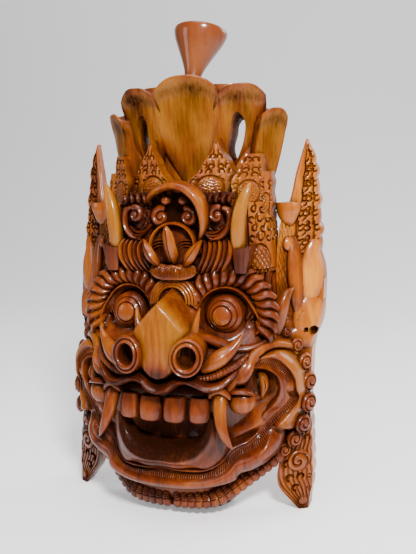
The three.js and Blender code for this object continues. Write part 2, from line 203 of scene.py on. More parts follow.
def mirrored(rows: Rows, side: Side) -> Array:
    """Rows with their first column multiplied by the side's sign.

    Args:
        rows: Rows whose first column is x.
        side: Side of the mask.

    Returns:
        The rows on that side.
    """
    out = np.array(rows, float)
    out[:, 0] *= side.value
    return out


def on_skin(rows: Rows, lift: float, side: Side) -> Array:
    """Rows of x, z, radii turned to x, v, z, radii, lifted off the head's front and put on a side.

    Args:
        rows: Rows of x, z and radii on the right side.
        lift: Distance off the head's front.
        side: Side of the mask.

    Returns:
        Control rows for sweep.
    """
    r = np.asarray(rows, float)
    v = front_v(r[:, 0], r[:, 1]) - lift
    return mirrored(np.column_stack([r[:, 0], v, r[:, 1:]]), side)


@dataclass
class Surface:
    """One closed skin: points, four-sided and three-sided faces, tone and a darkening for staining and
    painted shade at each point.
    """

    points: Array
    quads: Array
    tris: Array
    tone: Array
    stain_and_shade: Array

    def outward(self) -> "Surface":
        """Turn the faces over when the skin's signed volume is negative.

        Returns:
            The same skin.
        """
        q = self.quads.astype(int)
        t = np.concatenate([self.tris.astype(int), q[:, [0, 1, 2]], q[:, [0, 2, 3]]])
        a, b, c = (self.points[t[:, k]] for k in range(3))
        if np.einsum("ij,ij->", a, np.cross(b, c)) < 0:
            self.quads, self.tris = self.quads[:, ::-1], self.tris[:, ::-1]
        return self


def spread(value: float | Array, count: int) -> Array:
    """A number or array as an array of count values."""
    return np.broadcast_to(np.asarray(value, float).reshape(-1), (count,)).copy()


def round_ring(value: float | Array, sides: int) -> float | Array:
    """One value per ring repeated round each ring; a single number stays as it is."""
    return np.repeat(np.asarray(value, float)[:, None], sides, axis=1) if np.ndim(value) else value


def ring_skin(rings: Array, tone: float | Array = 0.4, stain_and_shade: float | Array = 0.0) -> Surface:
    """Skin of rings (n, m, 3): quads between neighbouring rings, a fan to the middle at each end.

    Args:
        rings: Places of n rings of m points.
        tone: Tone of every point, or an (n, m) array.
        stain_and_shade: Staining and painted shade of every point, or an (n, m) array.

    Returns:
        The closed skin.
    """
    n, m = rings.shape[:2]
    k = np.arange((n - 1) * m)
    j = (k // m) * m + (k % m + 1) % m
    quads = np.column_stack([k, j, j + m, k + m])
    i = np.arange(m)
    first = np.column_stack([np.full(m, n * m), (i + 1) % m, i])
    last = np.column_stack([np.full(m, n * m + 1), (n - 1) * m + i, (n - 1) * m + (i + 1) % m])
    points = np.concatenate([rings.reshape(-1, 3), rings[0].mean(0)[None], rings[-1].mean(0)[None]])
    tones, stains_and_shade = spread(tone, n * m), spread(stain_and_shade, n * m)
    ends = [0, (n - 1) * m]
    return Surface(points, quads, np.concatenate([first, last]), np.append(tones, tones[ends]),
                   np.append(stains_and_shade, stains_and_shade[ends])).outward()


def slab(front: Array, back: Array, tone: float | Array = 0.4, stain_and_shade: float | Array = 0.0) -> Surface:
    """Closed slab between two grids (n, m, 3): each row becomes a ring, front then eight back points.

    Args:
        front: Places of the front face.
        back: Places of the back face.
        tone: Tone, one number or an (n, m) array for the front.
        stain_and_shade: Staining and painted shade, one number or an (n, m) array for the front.

    Returns:
        The closed skin.
    """
    back = back[:, np.linspace(0, back.shape[1] - 1, 8).astype(int)[::-1]]
    rings = np.concatenate([front, back], axis=1)
    two = [np.concatenate([a, np.repeat(a.mean(axis=1, keepdims=True), 8, axis=1)], axis=1)
           for a in (np.broadcast_to(np.asarray(f, float), front.shape[:2]) for f in (tone, stain_and_shade))]
    return ring_skin(rings, two[0], two[1])


def sweep(rows: Rows | Array, count: int, sides: int, tone: float | Array = 0.4, stain_and_shade: float | Array = 0.0,
          relief: Callable[[Array, Array], Array] | None = None, ends: float = 0.0,
          power: float = 2.0) -> Surface:
    """Section carried along a path: superellipse of radii (across, deep) times 1 + relief(s, a).

    Args:
        rows: Control rows of x, v, z, across, deep.
        count: Rings along the path.
        sides: Points round the section.
        tone: Tone of the whole sweep or array over (count,).
        stain_and_shade: Staining and painted shade of the whole sweep or array over (count,).
        relief: Extra share of the radius at path share s and section angle a.
        ends: Share of the length over which each end closes as a quarter circle.
        power: Superellipse power of the section.

    Returns:
        The closed skin.
    """
    p = flow(rows, count)
    c, s = p[:, :3], np.linspace(0, 1, count)
    t = np.gradient(c, axis=0)
    t /= np.linalg.norm(t, axis=1)[:, None] + 1e-12
    deep = np.array([0.0, -1.0, 0.0]) + t * t[:, 1:2]
    deep /= np.linalg.norm(deep, axis=1)[:, None] + 1e-12
    across = np.cross(t, deep)
    a = around(sides)
    ca, sa = (signed_power(f, 2 / power) for f in (np.cos(a), np.sin(a)))
    r = np.ones((count, sides))
    if relief is not None:
        r = r + relief(s[:, None], a[None, :])
    if ends > 0:
        e = np.minimum(np.minimum(s, 1 - s) / ends, 1.0)
        r = r * np.sqrt(np.clip(1 - (1 - e) ** 2, 0.0006, 1.0))[:, None]
    ring = (c[:, None] + across[:, None] * (p[:, 3, None] * r * ca)[..., None]
            + deep[:, None] * (p[:, 4, None] * r * sa)[..., None])
    return ring_skin(ring, round_ring(tone, sides), round_ring(stain_and_shade, sides))


def revolve(profile: Rows, centre: Sequence[float], axis: Sequence[float], count: int,
            tone: float | Array = 0.4, stain_and_shade: float | Array = 0.0, squash: float = 1.0) -> Surface:
    """Profile (radius, height) turned about an axis: centre + height * axis + radius * (cos, sin) round it.

    Args:
        profile: Rows of radius and height along the axis.
        centre: Start of the axis as x, v, z.
        axis: Direction of the axis.
        count: Points round the turn.
        tone: Tone, one number or one per profile row.
        stain_and_shade: Staining and painted shade, one number or one per profile row.
        squash: Upward radius over sideways radius.

    Returns:
        The closed skin.
    """
    p = np.asarray(profile, float)
    d = np.asarray(axis, float) / np.linalg.norm(axis)
    ref = np.array([0.0, 0.0, 1.0]) if abs(d[2]) < 0.9 else np.array([0.0, -1.0, 0.0])
    side = np.cross(d, ref)
    side /= np.linalg.norm(side)
    up = np.cross(side, d) * squash
    a = around(count)
    turn = np.cos(a)[:, None] * side + np.sin(a)[:, None] * up
    ring = np.asarray(centre, float) + p[:, 1, None, None] * d + p[:, 0, None, None] * turn
    return ring_skin(ring, round_ring(tone, count), round_ring(stain_and_shade, count))


def gouges(u: Array, w: Array, marks: Array) -> Array:
    """Deepest of curved, tapered cuts: each is depth * exp(-3 (along / length)^4 - (off / taper)^2).

    Args:
        u: First surface coordinate in millimetres.
        w: Second surface coordinate in millimetres.
        marks: Rows of u, w, angle in degrees, length, width, depth, bend.

    Returns:
        Depth of cut at each place, positive into the wood.
    """
    a = np.radians(marks[:, 2])
    du, dw = u[..., None] - marks[:, 0], w[..., None] - marks[:, 1]
    along = du * np.cos(a) + dw * np.sin(a)
    off = -du * np.sin(a) + dw * np.cos(a) - marks[:, 6] * (along / marks[:, 3]) ** 2
    taper = marks[:, 4] * (0.35 + 0.65 * np.clip(1 - (along / marks[:, 3]) ** 2, 0, 1))
    return (marks[:, 5] * np.exp(-(along / marks[:, 3]) ** 4 * 3 - (off / taper) ** 2)).max(axis=-1)


def curls(u: Array, w: Array, marks: Array) -> Array:
    """Comma cuts: on each, the radius closes from 1 to 0.3 of the mark's over three quarters of a turn.

    Args:
        u: First surface coordinate in millimetres.
        w: Second surface coordinate in millimetres.
        marks: Rows of u, w, radius, start angle in degrees, hand, width, depth.

    Returns:
        Depth of cut at each place.
    """
    du, dw = u[..., None] - marks[:, 0], w[..., None] - marks[:, 1]
    share = np.mod((np.arctan2(dw, du) - np.radians(marks[:, 3])) * marks[:, 4], 2 * np.pi) / (1.5 * np.pi)
    line = marks[:, 2] * (1.0 - 0.7 * share)
    width = marks[:, 5] * (0.45 + 0.8 * np.sin(np.pi * np.clip(share, 0, 1)))
    cut = marks[:, 6] * np.exp(-(((np.hypot(du, dw) - line) / width) ** 2)) * (share < 1.0)
    return cut.max(axis=-1)


def loft(guides: Sequence[Rows], along: int, across: int) -> Array:
    """Grid through guide curves: each half is mirrored in x and smoothed, then joined by Hermite pieces.

    Args:
        guides: Curves of x, v, z rows from the middle outward.
        along: Points along each curve.
        across: Points from the first curve to the last.

    Returns:
        Places, (across, along, 3).
    """
    lines = []
    for guide in guides:
        half = np.array(guide, float)
        lines.append(flow(np.concatenate([half[:0:-1] * [-1, 1, 1], half]), along))
    c = np.stack(lines)
    return hermite(c, np.arange(len(c), dtype=float), np.linspace(0, len(c) - 1, across))


def spiral(x: float, z: float, radius: float, turns: float, start: float, thick: float, v: float,
           side: Side = Side.RIGHT, hand: float = 1.0) -> Array:
    """Path of a volute: its radius falls as (1 - t)^1.2 over the turns, and the strand thins inward.

    Args:
        x: Centre sideways.
        z: Centre height.
        radius: Outer radius.
        turns: Number of turns.
        start: Angle of the outer end in degrees.
        thick: Radius of the strand at the outer end.
        v: Depth of the strand.
        side: Side of the mask.
        hand: 1 to wind anticlockwise, -1 clockwise.

    Returns:
        Control rows for sweep.
    """
    t = np.linspace(0, 1, max(6, int(turns * 10)))
    a = math.radians(start) + hand * 2 * np.pi * turns * t
    r = radius * (1 - t) ** 1.2 + 0.4
    w = thick * (1 - 0.45 * t)
    rows = np.column_stack([x + r * np.cos(a), v - 1.5 * t, z + r * np.sin(a), w, w])
    return mirrored(rows, side)


@dataclass
class Carving:
    """A block of wood that gathers skins and becomes one Blender piece."""

    name: str
    skins: list[Surface] = field(default_factory=list)

    def add(self, *skins: Surface) -> None:
        """Gather closed skins."""
        self.skins.extend(skins)

    def mesh_object(self, metres: bool = False, sharp: float = 42.0) -> Piece:
        """Make one object out of all skins, with tone and the darkening of staining and painted shade as
        point attributes.

        Args:
            metres: True when the points are already in frame metres.
            sharp: Angle in degrees past which an edge is shaded sharp.

        Returns:
            The new object.
        """
        start = np.cumsum([0] + [len(s.points) for s in self.skins])
        points = np.concatenate([s.points for s in self.skins])
        quads = np.concatenate([s.quads + o for s, o in zip(self.skins, start)]).astype(np.int32)
        tris = np.concatenate([s.tris + o for s, o in zip(self.skins, start)]).astype(np.int32)
        mesh = bpy.data.meshes.new(self.name)
        mesh.vertices.add(len(points))
        mesh.vertices.foreach_set("co", (points if metres else place(points)).astype(np.float32).ravel())
        sizes = np.concatenate([np.full(len(quads), 4), np.full(len(tris), 3)]).astype(np.int32)
        mesh.loops.add(int(sizes.sum()))
        mesh.loops.foreach_set("vertex_index", np.concatenate([quads.ravel(), tris.ravel()]))
        mesh.polygons.add(len(sizes))
        mesh.polygons.foreach_set("loop_start", (np.cumsum(sizes) - sizes).astype(np.int32))
        for key in ("tone", "stain_and_shade"):
            values = np.concatenate([getattr(s, key) for s in self.skins]).astype(np.float32)
            mesh.attributes.new(key, "FLOAT", "POINT").data.foreach_set("value", values)
        mesh.update(calc_edges=True)
        mesh.validate()
        mesh.polygons.foreach_set("use_smooth", np.ones(len(mesh.polygons), bool))
        mesh.set_sharp_from_angle(angle=math.radians(sharp))
        piece = bpy.data.objects.new(self.name, mesh)
        bpy.context.scene.collection.objects.link(piece)
        return piece


def cut_away(body: Surface, cutters: Sequence[Surface]) -> Surface:
    """Take closed cutters out of a closed body, all in frame metres, and read the result back as one skin.

    Args:
        body: The wood.
        cutters: The spaces to cut.

    Returns:
        The cut skin in design millimetres, plain in tone.
    """
    made: list[Piece] = []
    for skin in (body, *cutters):
        made.append(Carving("block", [skin]).mesh_object(metres=True))
        if len(made) > 1:
            cut = made[0].modifiers.new("cut", "BOOLEAN")
            cut.operation, cut.solver, cut.object = "DIFFERENCE", "MANIFOLD", made[-1]
    bpy.context.view_layer.update()
    result = made[0].evaluated_get(bpy.context.evaluated_depsgraph_get()).to_mesh()
    result.calc_loop_triangles()
    flat = np.empty(len(result.vertices) * 3, np.float32)
    result.vertices.foreach_get("co", flat)
    tris = np.empty(len(result.loop_triangles) * 3, np.int32)
    result.loop_triangles.foreach_get("vertices", tris)
    for thing in made:
        data = thing.data
        bpy.data.objects.remove(thing)
        bpy.data.meshes.remove(data)
    points = flat.reshape(-1, 3).astype(float) / MM
    points[:, 1] -= LEAN * points[:, 2] + CENTRE_Y
    plain_value = np.full(len(points), 0.4)
    return Surface(points, np.empty((0, 4), int), tris.reshape(-1, 3), plain_value, plain_value * 0)


# ---- the head ----
SEAM: Array = np.array([(0, 53.5), (22, 54), (42, 56.5), (54, 62), (66, 75), (80, 83), (92, 91), (99, 101),
                        (107, 109), (115, 119), (120, 130), (118, 142), (112, 152), (101, 159), (84, 161)],
                        float)


def seam_loop() -> Array:
    """Closed outline of the sunken mouth and cheeks: the seam on both sides, closed under the upper lip."""
    right = np.concatenate([SEAM, [(70, 152), (48, 147), (24, 146)]])
    return np.concatenate([right, np.array([(-x, z) for x, z in right[::-1] if x > 0])])


@dataclass
class HeadShell:
    """Hollow block of the head, before the features are laid on it."""

    columns: int = 132
    levels: int = 150
    wall: float = 17.0
    face_wall: float = 34.0
    crown_wall: float = 15.0
    sole: float = 24.0
    plate: float = 14.0
    mouth: tuple[float, float, float, float] = (47.0, 138.0, 68.0, 25.0)
    cheek: tuple[float, float, float, float] = (90.0, 139.0, 5.0, 8.0)

    def relief(self, x: Array, z: Array) -> Array:
        """Height off the block: inside the seam it sinks 9 mm, with dips at the eyes, cheeks, jaw and chin.

        Args:
            x: Sideways places.
            z: Heights.

        Returns:
            Height outward in millimetres.
        """
        sunk = -9.0 * ease(outline_distance(x, z, seam_loop()), -1.0, 13.0)
        r = np.hypot(np.abs(x) - EYE_X, z - EYE_Z)
        eye = -4.0 * bell(r, 25, 7)
        chin = -3.0 * ease(-z, -36.0, -12.0)
        trough = -7.0 * ease(1.0 - np.hypot((np.abs(x) - HOLE_X) / 14, (z - HOLE_Z) / 19), 0.0, 0.35)
        jaw = (-14.0 * ease(-z, -136.0, -112.0) * ease(np.abs(x), 38.0, 66.0)
               - 7.0 * ease(-z, -95.0, -70.0))
        return sunk + eye + chin + trough + jaw * ease(z, 12.0, 30.0)

    def block(self) -> Surface:
        """The solid block: superellipse sections pushed along their own normals by the relief.

        Returns:
            The closed skin, in frame metres.
        """
        z = np.concatenate([np.linspace(0, 326, self.levels - 34), np.linspace(328, CROWN_TOP, 34)])
        a = np.linspace(-np.pi / 2, np.pi / 2, self.columns)
        w, f, n = (station(z, k)[:, None] for k in (1, 2, 3))
        x = w * signed_power(np.sin(a), 2 / n)
        v = BACK_V - (BACK_V - f) * np.abs(np.cos(a)) ** (2 / n)
        p = grid(x, v, z[:, None])
        along, up = np.gradient(p, axis=1), np.gradient(p, axis=0)
        normal = np.cross(along, up)
        normal /= np.linalg.norm(normal, axis=-1, keepdims=True) + 1e-9
        normal *= np.where(normal[..., 1:2] > 0.05, -1, 1)
        fade = np.clip((BACK_V - v) / 14.0, 0, 1)[..., None]
        p = p + normal * self.relief(x, p[..., 2])[..., None] * fade
        p[..., 2] = np.clip(p[..., 2], 0, None)
        p[0, :, 2], p[-1, :, 2] = 0.0, CROWN_TOP
        back = np.linspace(p[:, -1], p[:, 0], 14, axis=1)[:, 1:-1]
        return ring_skin(place(np.concatenate([p, back], axis=1)))

    def hollow(self) -> Surface:
        """The open back: the same sections set in by the wall, and by more at the jaw, past the back face.

        Returns:
            The closed space, in frame metres.
        """
        z = np.linspace(self.sole, CROWN_TOP - self.plate, 60)
        a = np.linspace(-np.pi / 2, np.pi / 2, 56)
        inset = np.interp(z, [230, 320, 330], [self.face_wall, 26.0, self.crown_wall])
        jaw = ease(-z, -146.0, -112.0)
        w, f, n = station(z, 1) - self.wall - 13.0 * jaw, station(z, 2) + inset + 6.0 * jaw, station(z, 3)
        chisel = 0.5 * np.sin(z / 5.1)[:, None] * np.sin(a * 21 + z[:, None] / 9)
        x = w[:, None] * signed_power(np.sin(a), 2 / n[:, None])
        v = BACK_V + 12 - (BACK_V + 12 - f[:, None]) * np.abs(np.cos(a)) ** (2 / n[:, None]) + chisel
        p = grid(x, v, z[:, None])
        return ring_skin(place(p))

    def mouth_space(self) -> Surface:
        """The bowl of the mouth: superellipse rings that shrink as a quarter ellipse with depth.

        Returns:
            The closed space, in frame metres.
        """
        x, top, low, depth = self.mouth
        d = np.concatenate([[-40.0], np.linspace(0, depth, 14)])
        f = np.where(d < 0, 1.0, np.sqrt(np.clip(1 - 0.8 * (np.clip(d, 0, None) / depth) ** 2.2, 0, 1)))
        a = around(64)
        px = x * signed_power(np.cos(a), 0.62)
        pz = (top - low) / 2 * signed_power(np.sin(a), 0.75)
        return ring_skin(place(grid(f[:, None] * px, (-80 + d)[:, None], (top + low) / 2 + f[:, None] * pz)))

    def cheek_space(self, side: Side) -> Surface:
        """The hole through a cheek: a flared oval bore, flatter toward the mouth.

        Args:
            side: Side of the mask.

        Returns:
            The closed space, in frame metres.
        """
        x, z, rx, rz = self.cheek
        a = around(40)
        d = np.array([-60.0, -6.0, 0.0, 8.0, 70.0])
        f = np.array([1.5, 1.2, 1.02, 0.95, 0.9])
        px = np.where(np.cos(a) < 0, 0.86, 1.08) * rx * np.cos(a)
        v0 = float(front_v(np.array(x), np.array(z))) + 9
        return ring_skin(place(grid((x - 1 + f[:, None] * px) * side.value, (v0 + d)[:, None],
                                    z + f[:, None] * rz * np.sin(a))))

    def carve(self, wood: Carving) -> None:
        """Cut the spaces out of the block and add the result: painted shade darkens the mouth's bowl and the
        cheek holes, paler above.

        Args:
            wood: The carving that takes the skins.
        """
        cutters = [self.hollow(), self.mouth_space()]
        for side in Side:
            cutters += [self.cheek_space(side), Crown().drop(side)]
        skin = cut_away(self.block(), cutters)
        x, v, z = np.abs(skin.points[:, 0]), skin.points[:, 1], skin.points[:, 2]
        skin.tone = 0.36 + 0.25 * ease(z, 330, 345) + 0.12 * ease(x, 70, 100)
        # painted shade: the bowl of the mouth and the inside of each cheek hole are darkened
        bowl = (x < 50) * (z > 66) * (z < 140) * ease(v, -76, -60) * (v < -52)
        hole = ease(1.05 - np.hypot((x - HOLE_X) / 15, (z - HOLE_Z) / 19), 0, 0.3) * (v < -12)
        skin.stain_and_shade = np.clip(0.75 * bowl + 0.9 * hole, 0, 1)
        wood.add(skin)


@dataclass
class Petal:
    """One flared crown petal: bottom and top middles, half widths, facing, thickness, arch, fold and
    darkening for waxed wood and painted shade.
    """

    low: Triple
    high: Triple
    half_low: float
    half_high: float
    facing: float
    thick: float
    arch: float
    fold: float = 0.0
    # darkening of the petal: waxed wood, and painted shade on the second pair
    wax_and_shade: float = 0.06

    def skin(self, side: Side) -> Surface:
        """Front of the petal: c(t) + s w(t) along its facing, bulging as 1 - |s|^2.8, flaring as t^1.8.

        Args:
            side: Side of the mask.

        Returns:
            The closed petal.
        """
        t, s = np.linspace(0, 1, 64)[:, None], np.sin(np.linspace(-np.pi / 2, np.pi / 2, 41))[None, :]
        turn = math.radians(self.facing)
        w = self.width(t) * (1 - 0.06 * ease(t, 0.88, 1.0))
        lo, hi = np.array(self.low), np.array(self.high)
        c = [lo[0] + (hi[0] - lo[0]) * t, lo[1] + (hi[1] - lo[1]) * t**1.8, lo[2] + (hi[2] - lo[2]) * t]
        crown = 1 - np.abs(s) ** 2.8
        bulge = -0.12 * w * crown * (1 - 0.5 * t**2) + self.fold * np.clip(s - 0.25, 0, None) * w
        lip = -5.0 * ease(t, 0.80, 0.98) * (0.35 + 0.65 * crown) + 1.6 * ease(t, 0.985, 1.0)
        rise = self.arch * crown * ease(t, 0.5, 1.0)
        faces = []
        for depth, up, narrow in ((bulge + lip, rise, 1.0),
                                  (np.broadcast_to(bulge * 0.3 + self.thick, bulge.shape), rise, 0.95)):
            x = c[0] + s * w * narrow * math.cos(turn) - depth * math.sin(turn)
            v = c[1] + s * w * narrow * math.sin(turn) + depth * math.cos(turn)
            faces.append(grid(x * side.value, v, c[2] + up))
        skin = slab(faces[0], faces[1])
        skin.tone, skin.stain_and_shade = self.shade(skin.points)
        return skin

    def width(self, t: Array) -> Array:
        """Half width at share t of the height: it opens as 1 - (1 - t)^2.6."""
        return self.half_low + (self.half_high - self.half_low) * (1 - (1 - t) ** 2.6)

    def shade(self, p: Array) -> tuple[Array, Array]:
        """Tone and darkening at design places: painted shade on the upper middle and in a band under the
        flared lip, a darker foot, edges darker and redder.

        Args:
            p: Rows of x, v, z.

        Returns:
            Tone and darkening (staining and painted shade) of each row.
        """
        turn = math.radians(self.facing)
        lo, hi = np.array(self.low), np.array(self.high)
        t = np.clip((p[:, 2] - lo[2]) / (hi[2] - lo[2]), 0, 1)
        w = self.width(t)
        dx, dv = np.abs(p[:, 0]) - lo[0] - (hi[0] - lo[0]) * t, p[:, 1] - lo[1] - (hi[1] - lo[1]) * t**1.8
        if self.low[0] == 0:
            dx = p[:, 0]
        s = np.clip((dx * math.cos(turn) + dv * math.sin(turn)) / w, -1, 1)
        behind = ease(-dx * math.sin(turn) + dv * math.cos(turn), 2, 7)
        rise = self.arch * (1 - np.abs(s) ** 2.8) * ease(t, 0.5, 1.0)
        t = np.clip((p[:, 2] - lo[2] - rise) / (hi[2] - lo[2]), 0, 1)
        cloud = np.sin(p[:, 0] / 8 + p[:, 2] / 27) * np.sin(p[:, 2] / 15 + p[:, 0] / 23 + 1.3)
        # painted shade: the upper middle and the band under the flared lip are darkened, with the petal's own
        # darkening
        dark = (0.20 + 0.30 * ease(t, 0.30, 0.75)
                * (1 - ease(np.abs(s), 0.0, 0.9)) * (1 - ease(t, 0.8, 0.97))
                + 0.42 * ease(1 - t, 0.5, 0.9) + 0.22 * ease(np.abs(s), 0.86, 0.98) + 0.20 * cloud
                + 0.30 * bell(t, 0.87, 0.06) + self.wax_and_shade)
        tone = (0.92 - self.wax_and_shade - 0.22 * ease(1 - t, 0.4, 0.9) - 0.28 * ease(np.abs(s), 0.82, 0.97)
                - 0.1 * cloud
                - 0.24 * ease(t, 0.90, 0.98))
        return tone - 0.2 * behind, np.clip(dark, 0, 1) * (1 - behind) + 0.35 * behind


@dataclass
class Crown:
    """Five flared petals, the second pair pierced."""

    centre: Petal = field(default_factory=lambda: Petal((0, -27, 335), (0, -47, 430), 4, 37.0, 0, 11, 15))
    # the second pair's 0.2 darkening is painted shade on faces turned from the light
    second: Petal = field(default_factory=lambda: Petal((42, -22, 336), (58, -38, 423), 10, 27, 14, 14, 12,
                                                        0.35, 0.2))
    outer: Petal = field(default_factory=lambda: Petal((74, -14, 314), (89, -20, 402), 8, 17, 44, 15, 8, 0.1))

    def drop(self, side: Side) -> Surface:
        """The drop-shaped opening of a second petal, run from front to back.

        Args:
            side: Side of the mask.

        Returns:
            The closed space, in frame metres.
        """
        z = np.array([[45, 351], [51, 356], [55.5, 366], [60, 383], [60.5, 396], [57, 404], [52.5, 407],
                      [48, 401], [45.5, 385], [42, 366]], float)
        loop = flow(np.column_stack([z[:, 0], np.zeros(len(z)), z[:, 1]])[list(range(10)) + [0]], 41)[:-1]
        mid = loop.mean(axis=0)
        rings = np.stack([np.column_stack([(mid[0] + (loop[:, 0] - mid[0]) * f) * side.value, np.full(40, v),
                                           mid[2] + (loop[:, 2] - mid[2]) * f])
                          for v, f in ((-80.0, 1.0), (-30.0, 1.0),
                                       (-18.0, 0.8 if side is Side.RIGHT else 0.6),
                                       (14.0, 0.62 if side is Side.RIGHT else 0.2))])
        return ring_skin(place(rings))

    def carve(self, wood: Carving) -> None:
        """Add the petals; the pierced ones are cut first.

        Args:
            wood: The head's carving.
        """
        wood.add(self.centre.skin(Side.RIGHT))
        for side in Side:
            petal = self.second.skin(side)
            petal.points = place(petal.points)
            cut = cut_away(petal, [self.drop(side)])
            cut.tone, cut.stain_and_shade = self.second.shade(cut.points)
            wood.add(cut, self.outer.skin(side))


@dataclass
class FlameLeaf:
    """A thick board cut to a flame, with chiselled curls and a hatched oval on its face."""

    left: Rows
    right: Rows
    front: float
    thick: float
    pivot: float
    facing: float
    oval: tuple[float, float, float, float]
    seed: int
    rows: int = 100
    columns: int = 54

    def skin(self, side: Side) -> Surface:
        """Face between two edge lines of x over z; cuts are chisel marks that follow the edges.

        Args:
            side: Side of the mask.

        Returns:
            The closed board.
        """
        l, r = np.array(self.left, float), np.array(self.right, float)
        low, high = max(l[:, 1].min(), r[:, 1].min()), min(l[:, 1].max(), r[:, 1].max())
        z = np.linspace(low, high, self.rows)[:, None]
        s = np.linspace(0, 1, self.columns)[None, :]
        xl, xr = (np.interp(z, e[np.argsort(e[:, 1]), 1], e[np.argsort(e[:, 1]), 0]) for e in (l, r))
        wave = 1.1 * np.sin(z / 3.4) * ease(high - z, 1, 10)
        x = xl + wave * 0.8 + (xr - xl) * s - wave * 1.6 * s
        marks, strokes = [], []
        rng = np.random.default_rng(self.seed)
        for k, mz in enumerate(np.arange(low + 4, high - 5, 7.4)):
            a, b = (float(np.interp(mz, z[:, 0], e[:, 0])) for e in (xl, xr))
            for share, hand in ((0.12, 1), (0.88, -1)) + (((0.36, 1), (0.64, -1)) if b - a > 15 else ()):
                mx = a + (b - a) * share
                marks.append([mx, mz + 2.5 * (k % 2), rng.uniform(3.2, 4.3), 200 if hand > 0 else -20,
                              -hand, 0.72, 2.2])
                strokes.append([mx + 1.5 * hand, mz + 4, 90 + 24 * hand + rng.normal(0, 8),
                                rng.uniform(3.4, 5.6), 0.7, 1.5, 1.0 * hand])
        ox, oz, orx, orz = self.oval
        q = np.hypot((x - ox) / orx, (z - oz) / orz)
        inside = ease(1.02 - q, 0.0, 0.05)
        hatch = np.maximum(np.cos((x * 0.45 + z) * 2.1), np.cos((x - z * 0.45) * 2.1)) ** 12
        ring = 2.0 * bell(q, 1.08, 0.07)
        lines = np.maximum(curls(x, z, np.array(marks)), gouges(x, z, np.array(strokes)))
        oval = 1.1 * hatch - 2.2 * np.sqrt(np.clip(1 - q * q, 0, 1))
        cut = lines * ease(q, 1.1, 1.2) + ring + inside * oval
        edge = ease(np.minimum(s, 1 - s) * (xr - xl), 0.0, 2.2)
        cut = cut * edge + 0.8 * (1 - edge)
        v = self.front + (x - self.pivot) * math.tan(math.radians(self.facing))
        front, back = (grid(x * side.value, v + d, z) for d in (cut, self.thick))
        return slab(front, back, 0.6, np.clip(cut * 0.42, 0, 1))


LEAVES: tuple[FlameLeaf, ...] = (
    FlameLeaf(((36, 380), (31, 366), (24, 353), (13, 340), (6, 328), (4, 318)),
              ((36, 380), (41, 368), (47, 357), (55, 345), (60, 333), (62, 318)),
              -50, 19, 34, 22, (31, 330, 12.5, 12), 5),
    FlameLeaf(((67, 364), (62, 352), (57, 340), (56, 326), (56, 314)),
              ((80, 364), (82, 352), (84, 340), (85, 326), (85, 312)),
              -43, 18, 72, 42, (70, 325, 9, 12), 8),
    FlameLeaf(((80, 346), (79, 330), (79, 316), (79, 300)), ((89, 346), (91, 330), (91, 316), (91, 300)),
              -32, 16, 85, 30, (85, 315, 3.5, 9), 11, 80, 28),
)


@dataclass
class SidePanel:
    """Carved temple board beside each horn: bent cuts above, a diamond-scaled oval, a toothed hem."""

    low: float = 246.0
    high: float = 316.0
    lift: float = 3.5

    def skin(self, side: Side) -> Surface:
        """Patch that follows the head's section angle, raised and cut.

        Args:
            side: Side of the mask.

        Returns:
            The closed patch.
        """
        z = np.linspace(self.low, self.high, 120)[:, None]
        a = np.linspace(math.radians(42), math.radians(87), 76)[None, :]
        w, f, n = (station(z, k) for k in (1, 2, 3))

        def at(lift: Array | float) -> Array:
            """Places of the patch, lifted outward by lift.

            Args:
                lift: Distance outward.

            Returns:
                Grid of places.
            """
            x = (w + lift) * np.sin(a) ** (2 / n)
            v = BACK_V - (BACK_V - f + lift) * np.cos(a) ** (2 / n)
            return grid(x * side.value, v, z)

        step = np.linalg.norm(np.diff(at(self.lift)[60], axis=0), axis=-1)
        u = np.concatenate([[0.0], np.cumsum(step)]) + 0 * z
        marks, strokes = [], []
        for k, mz in enumerate(np.arange(self.low + 34, self.high - 2, 9.5)):
            for j, mu in enumerate(np.arange(4, 46, 9.5)):
                hand = 1 if (j + k) % 2 else -1
                marks.append([mu + 3 * (k % 2), mz, 4.0, 90 * hand + 30 * j, hand, 0.8, 2.6])
                strokes.append([mu + 4.6, mz + 3, 80 + 15 * hand, 5.5, 0.9, 2.4, 1.6 * hand])
        q = np.hypot((u - 11) / 11.5, (z - 258) / 15.0)
        inside = ease(1.0 - q, 0.0, 0.05)
        mesh = np.maximum(np.abs(np.cos(np.pi * ((u - 11) / 5.4 + (z - 258) / 8.0))),
                          np.abs(np.cos(np.pi * ((u - 11) / 5.4 - (z - 258) / 8.0)))) ** 16
        ring = 2.2 * bell(q, 1.06, 0.06)
        hem = 1.8 * (z < 250) * np.abs(np.sin(u * 0.8))
        lines = np.maximum(curls(u, z, np.array(marks)), gouges(u, z, np.array(strokes)))
        cut = lines * ease(q, 1.08, 1.16) + ring + hem + inside * (
            1.2 * mesh - 3.0 * np.sqrt(np.clip(1 - q * q, 0, 1)))
        stain_and_shade = np.clip(0.42 * (lines + ring + hem) + 0.6 * inside * mesh, 0, 1)
        return slab(at(self.lift - cut), at(-6.0), 0.58, stain_and_shade)


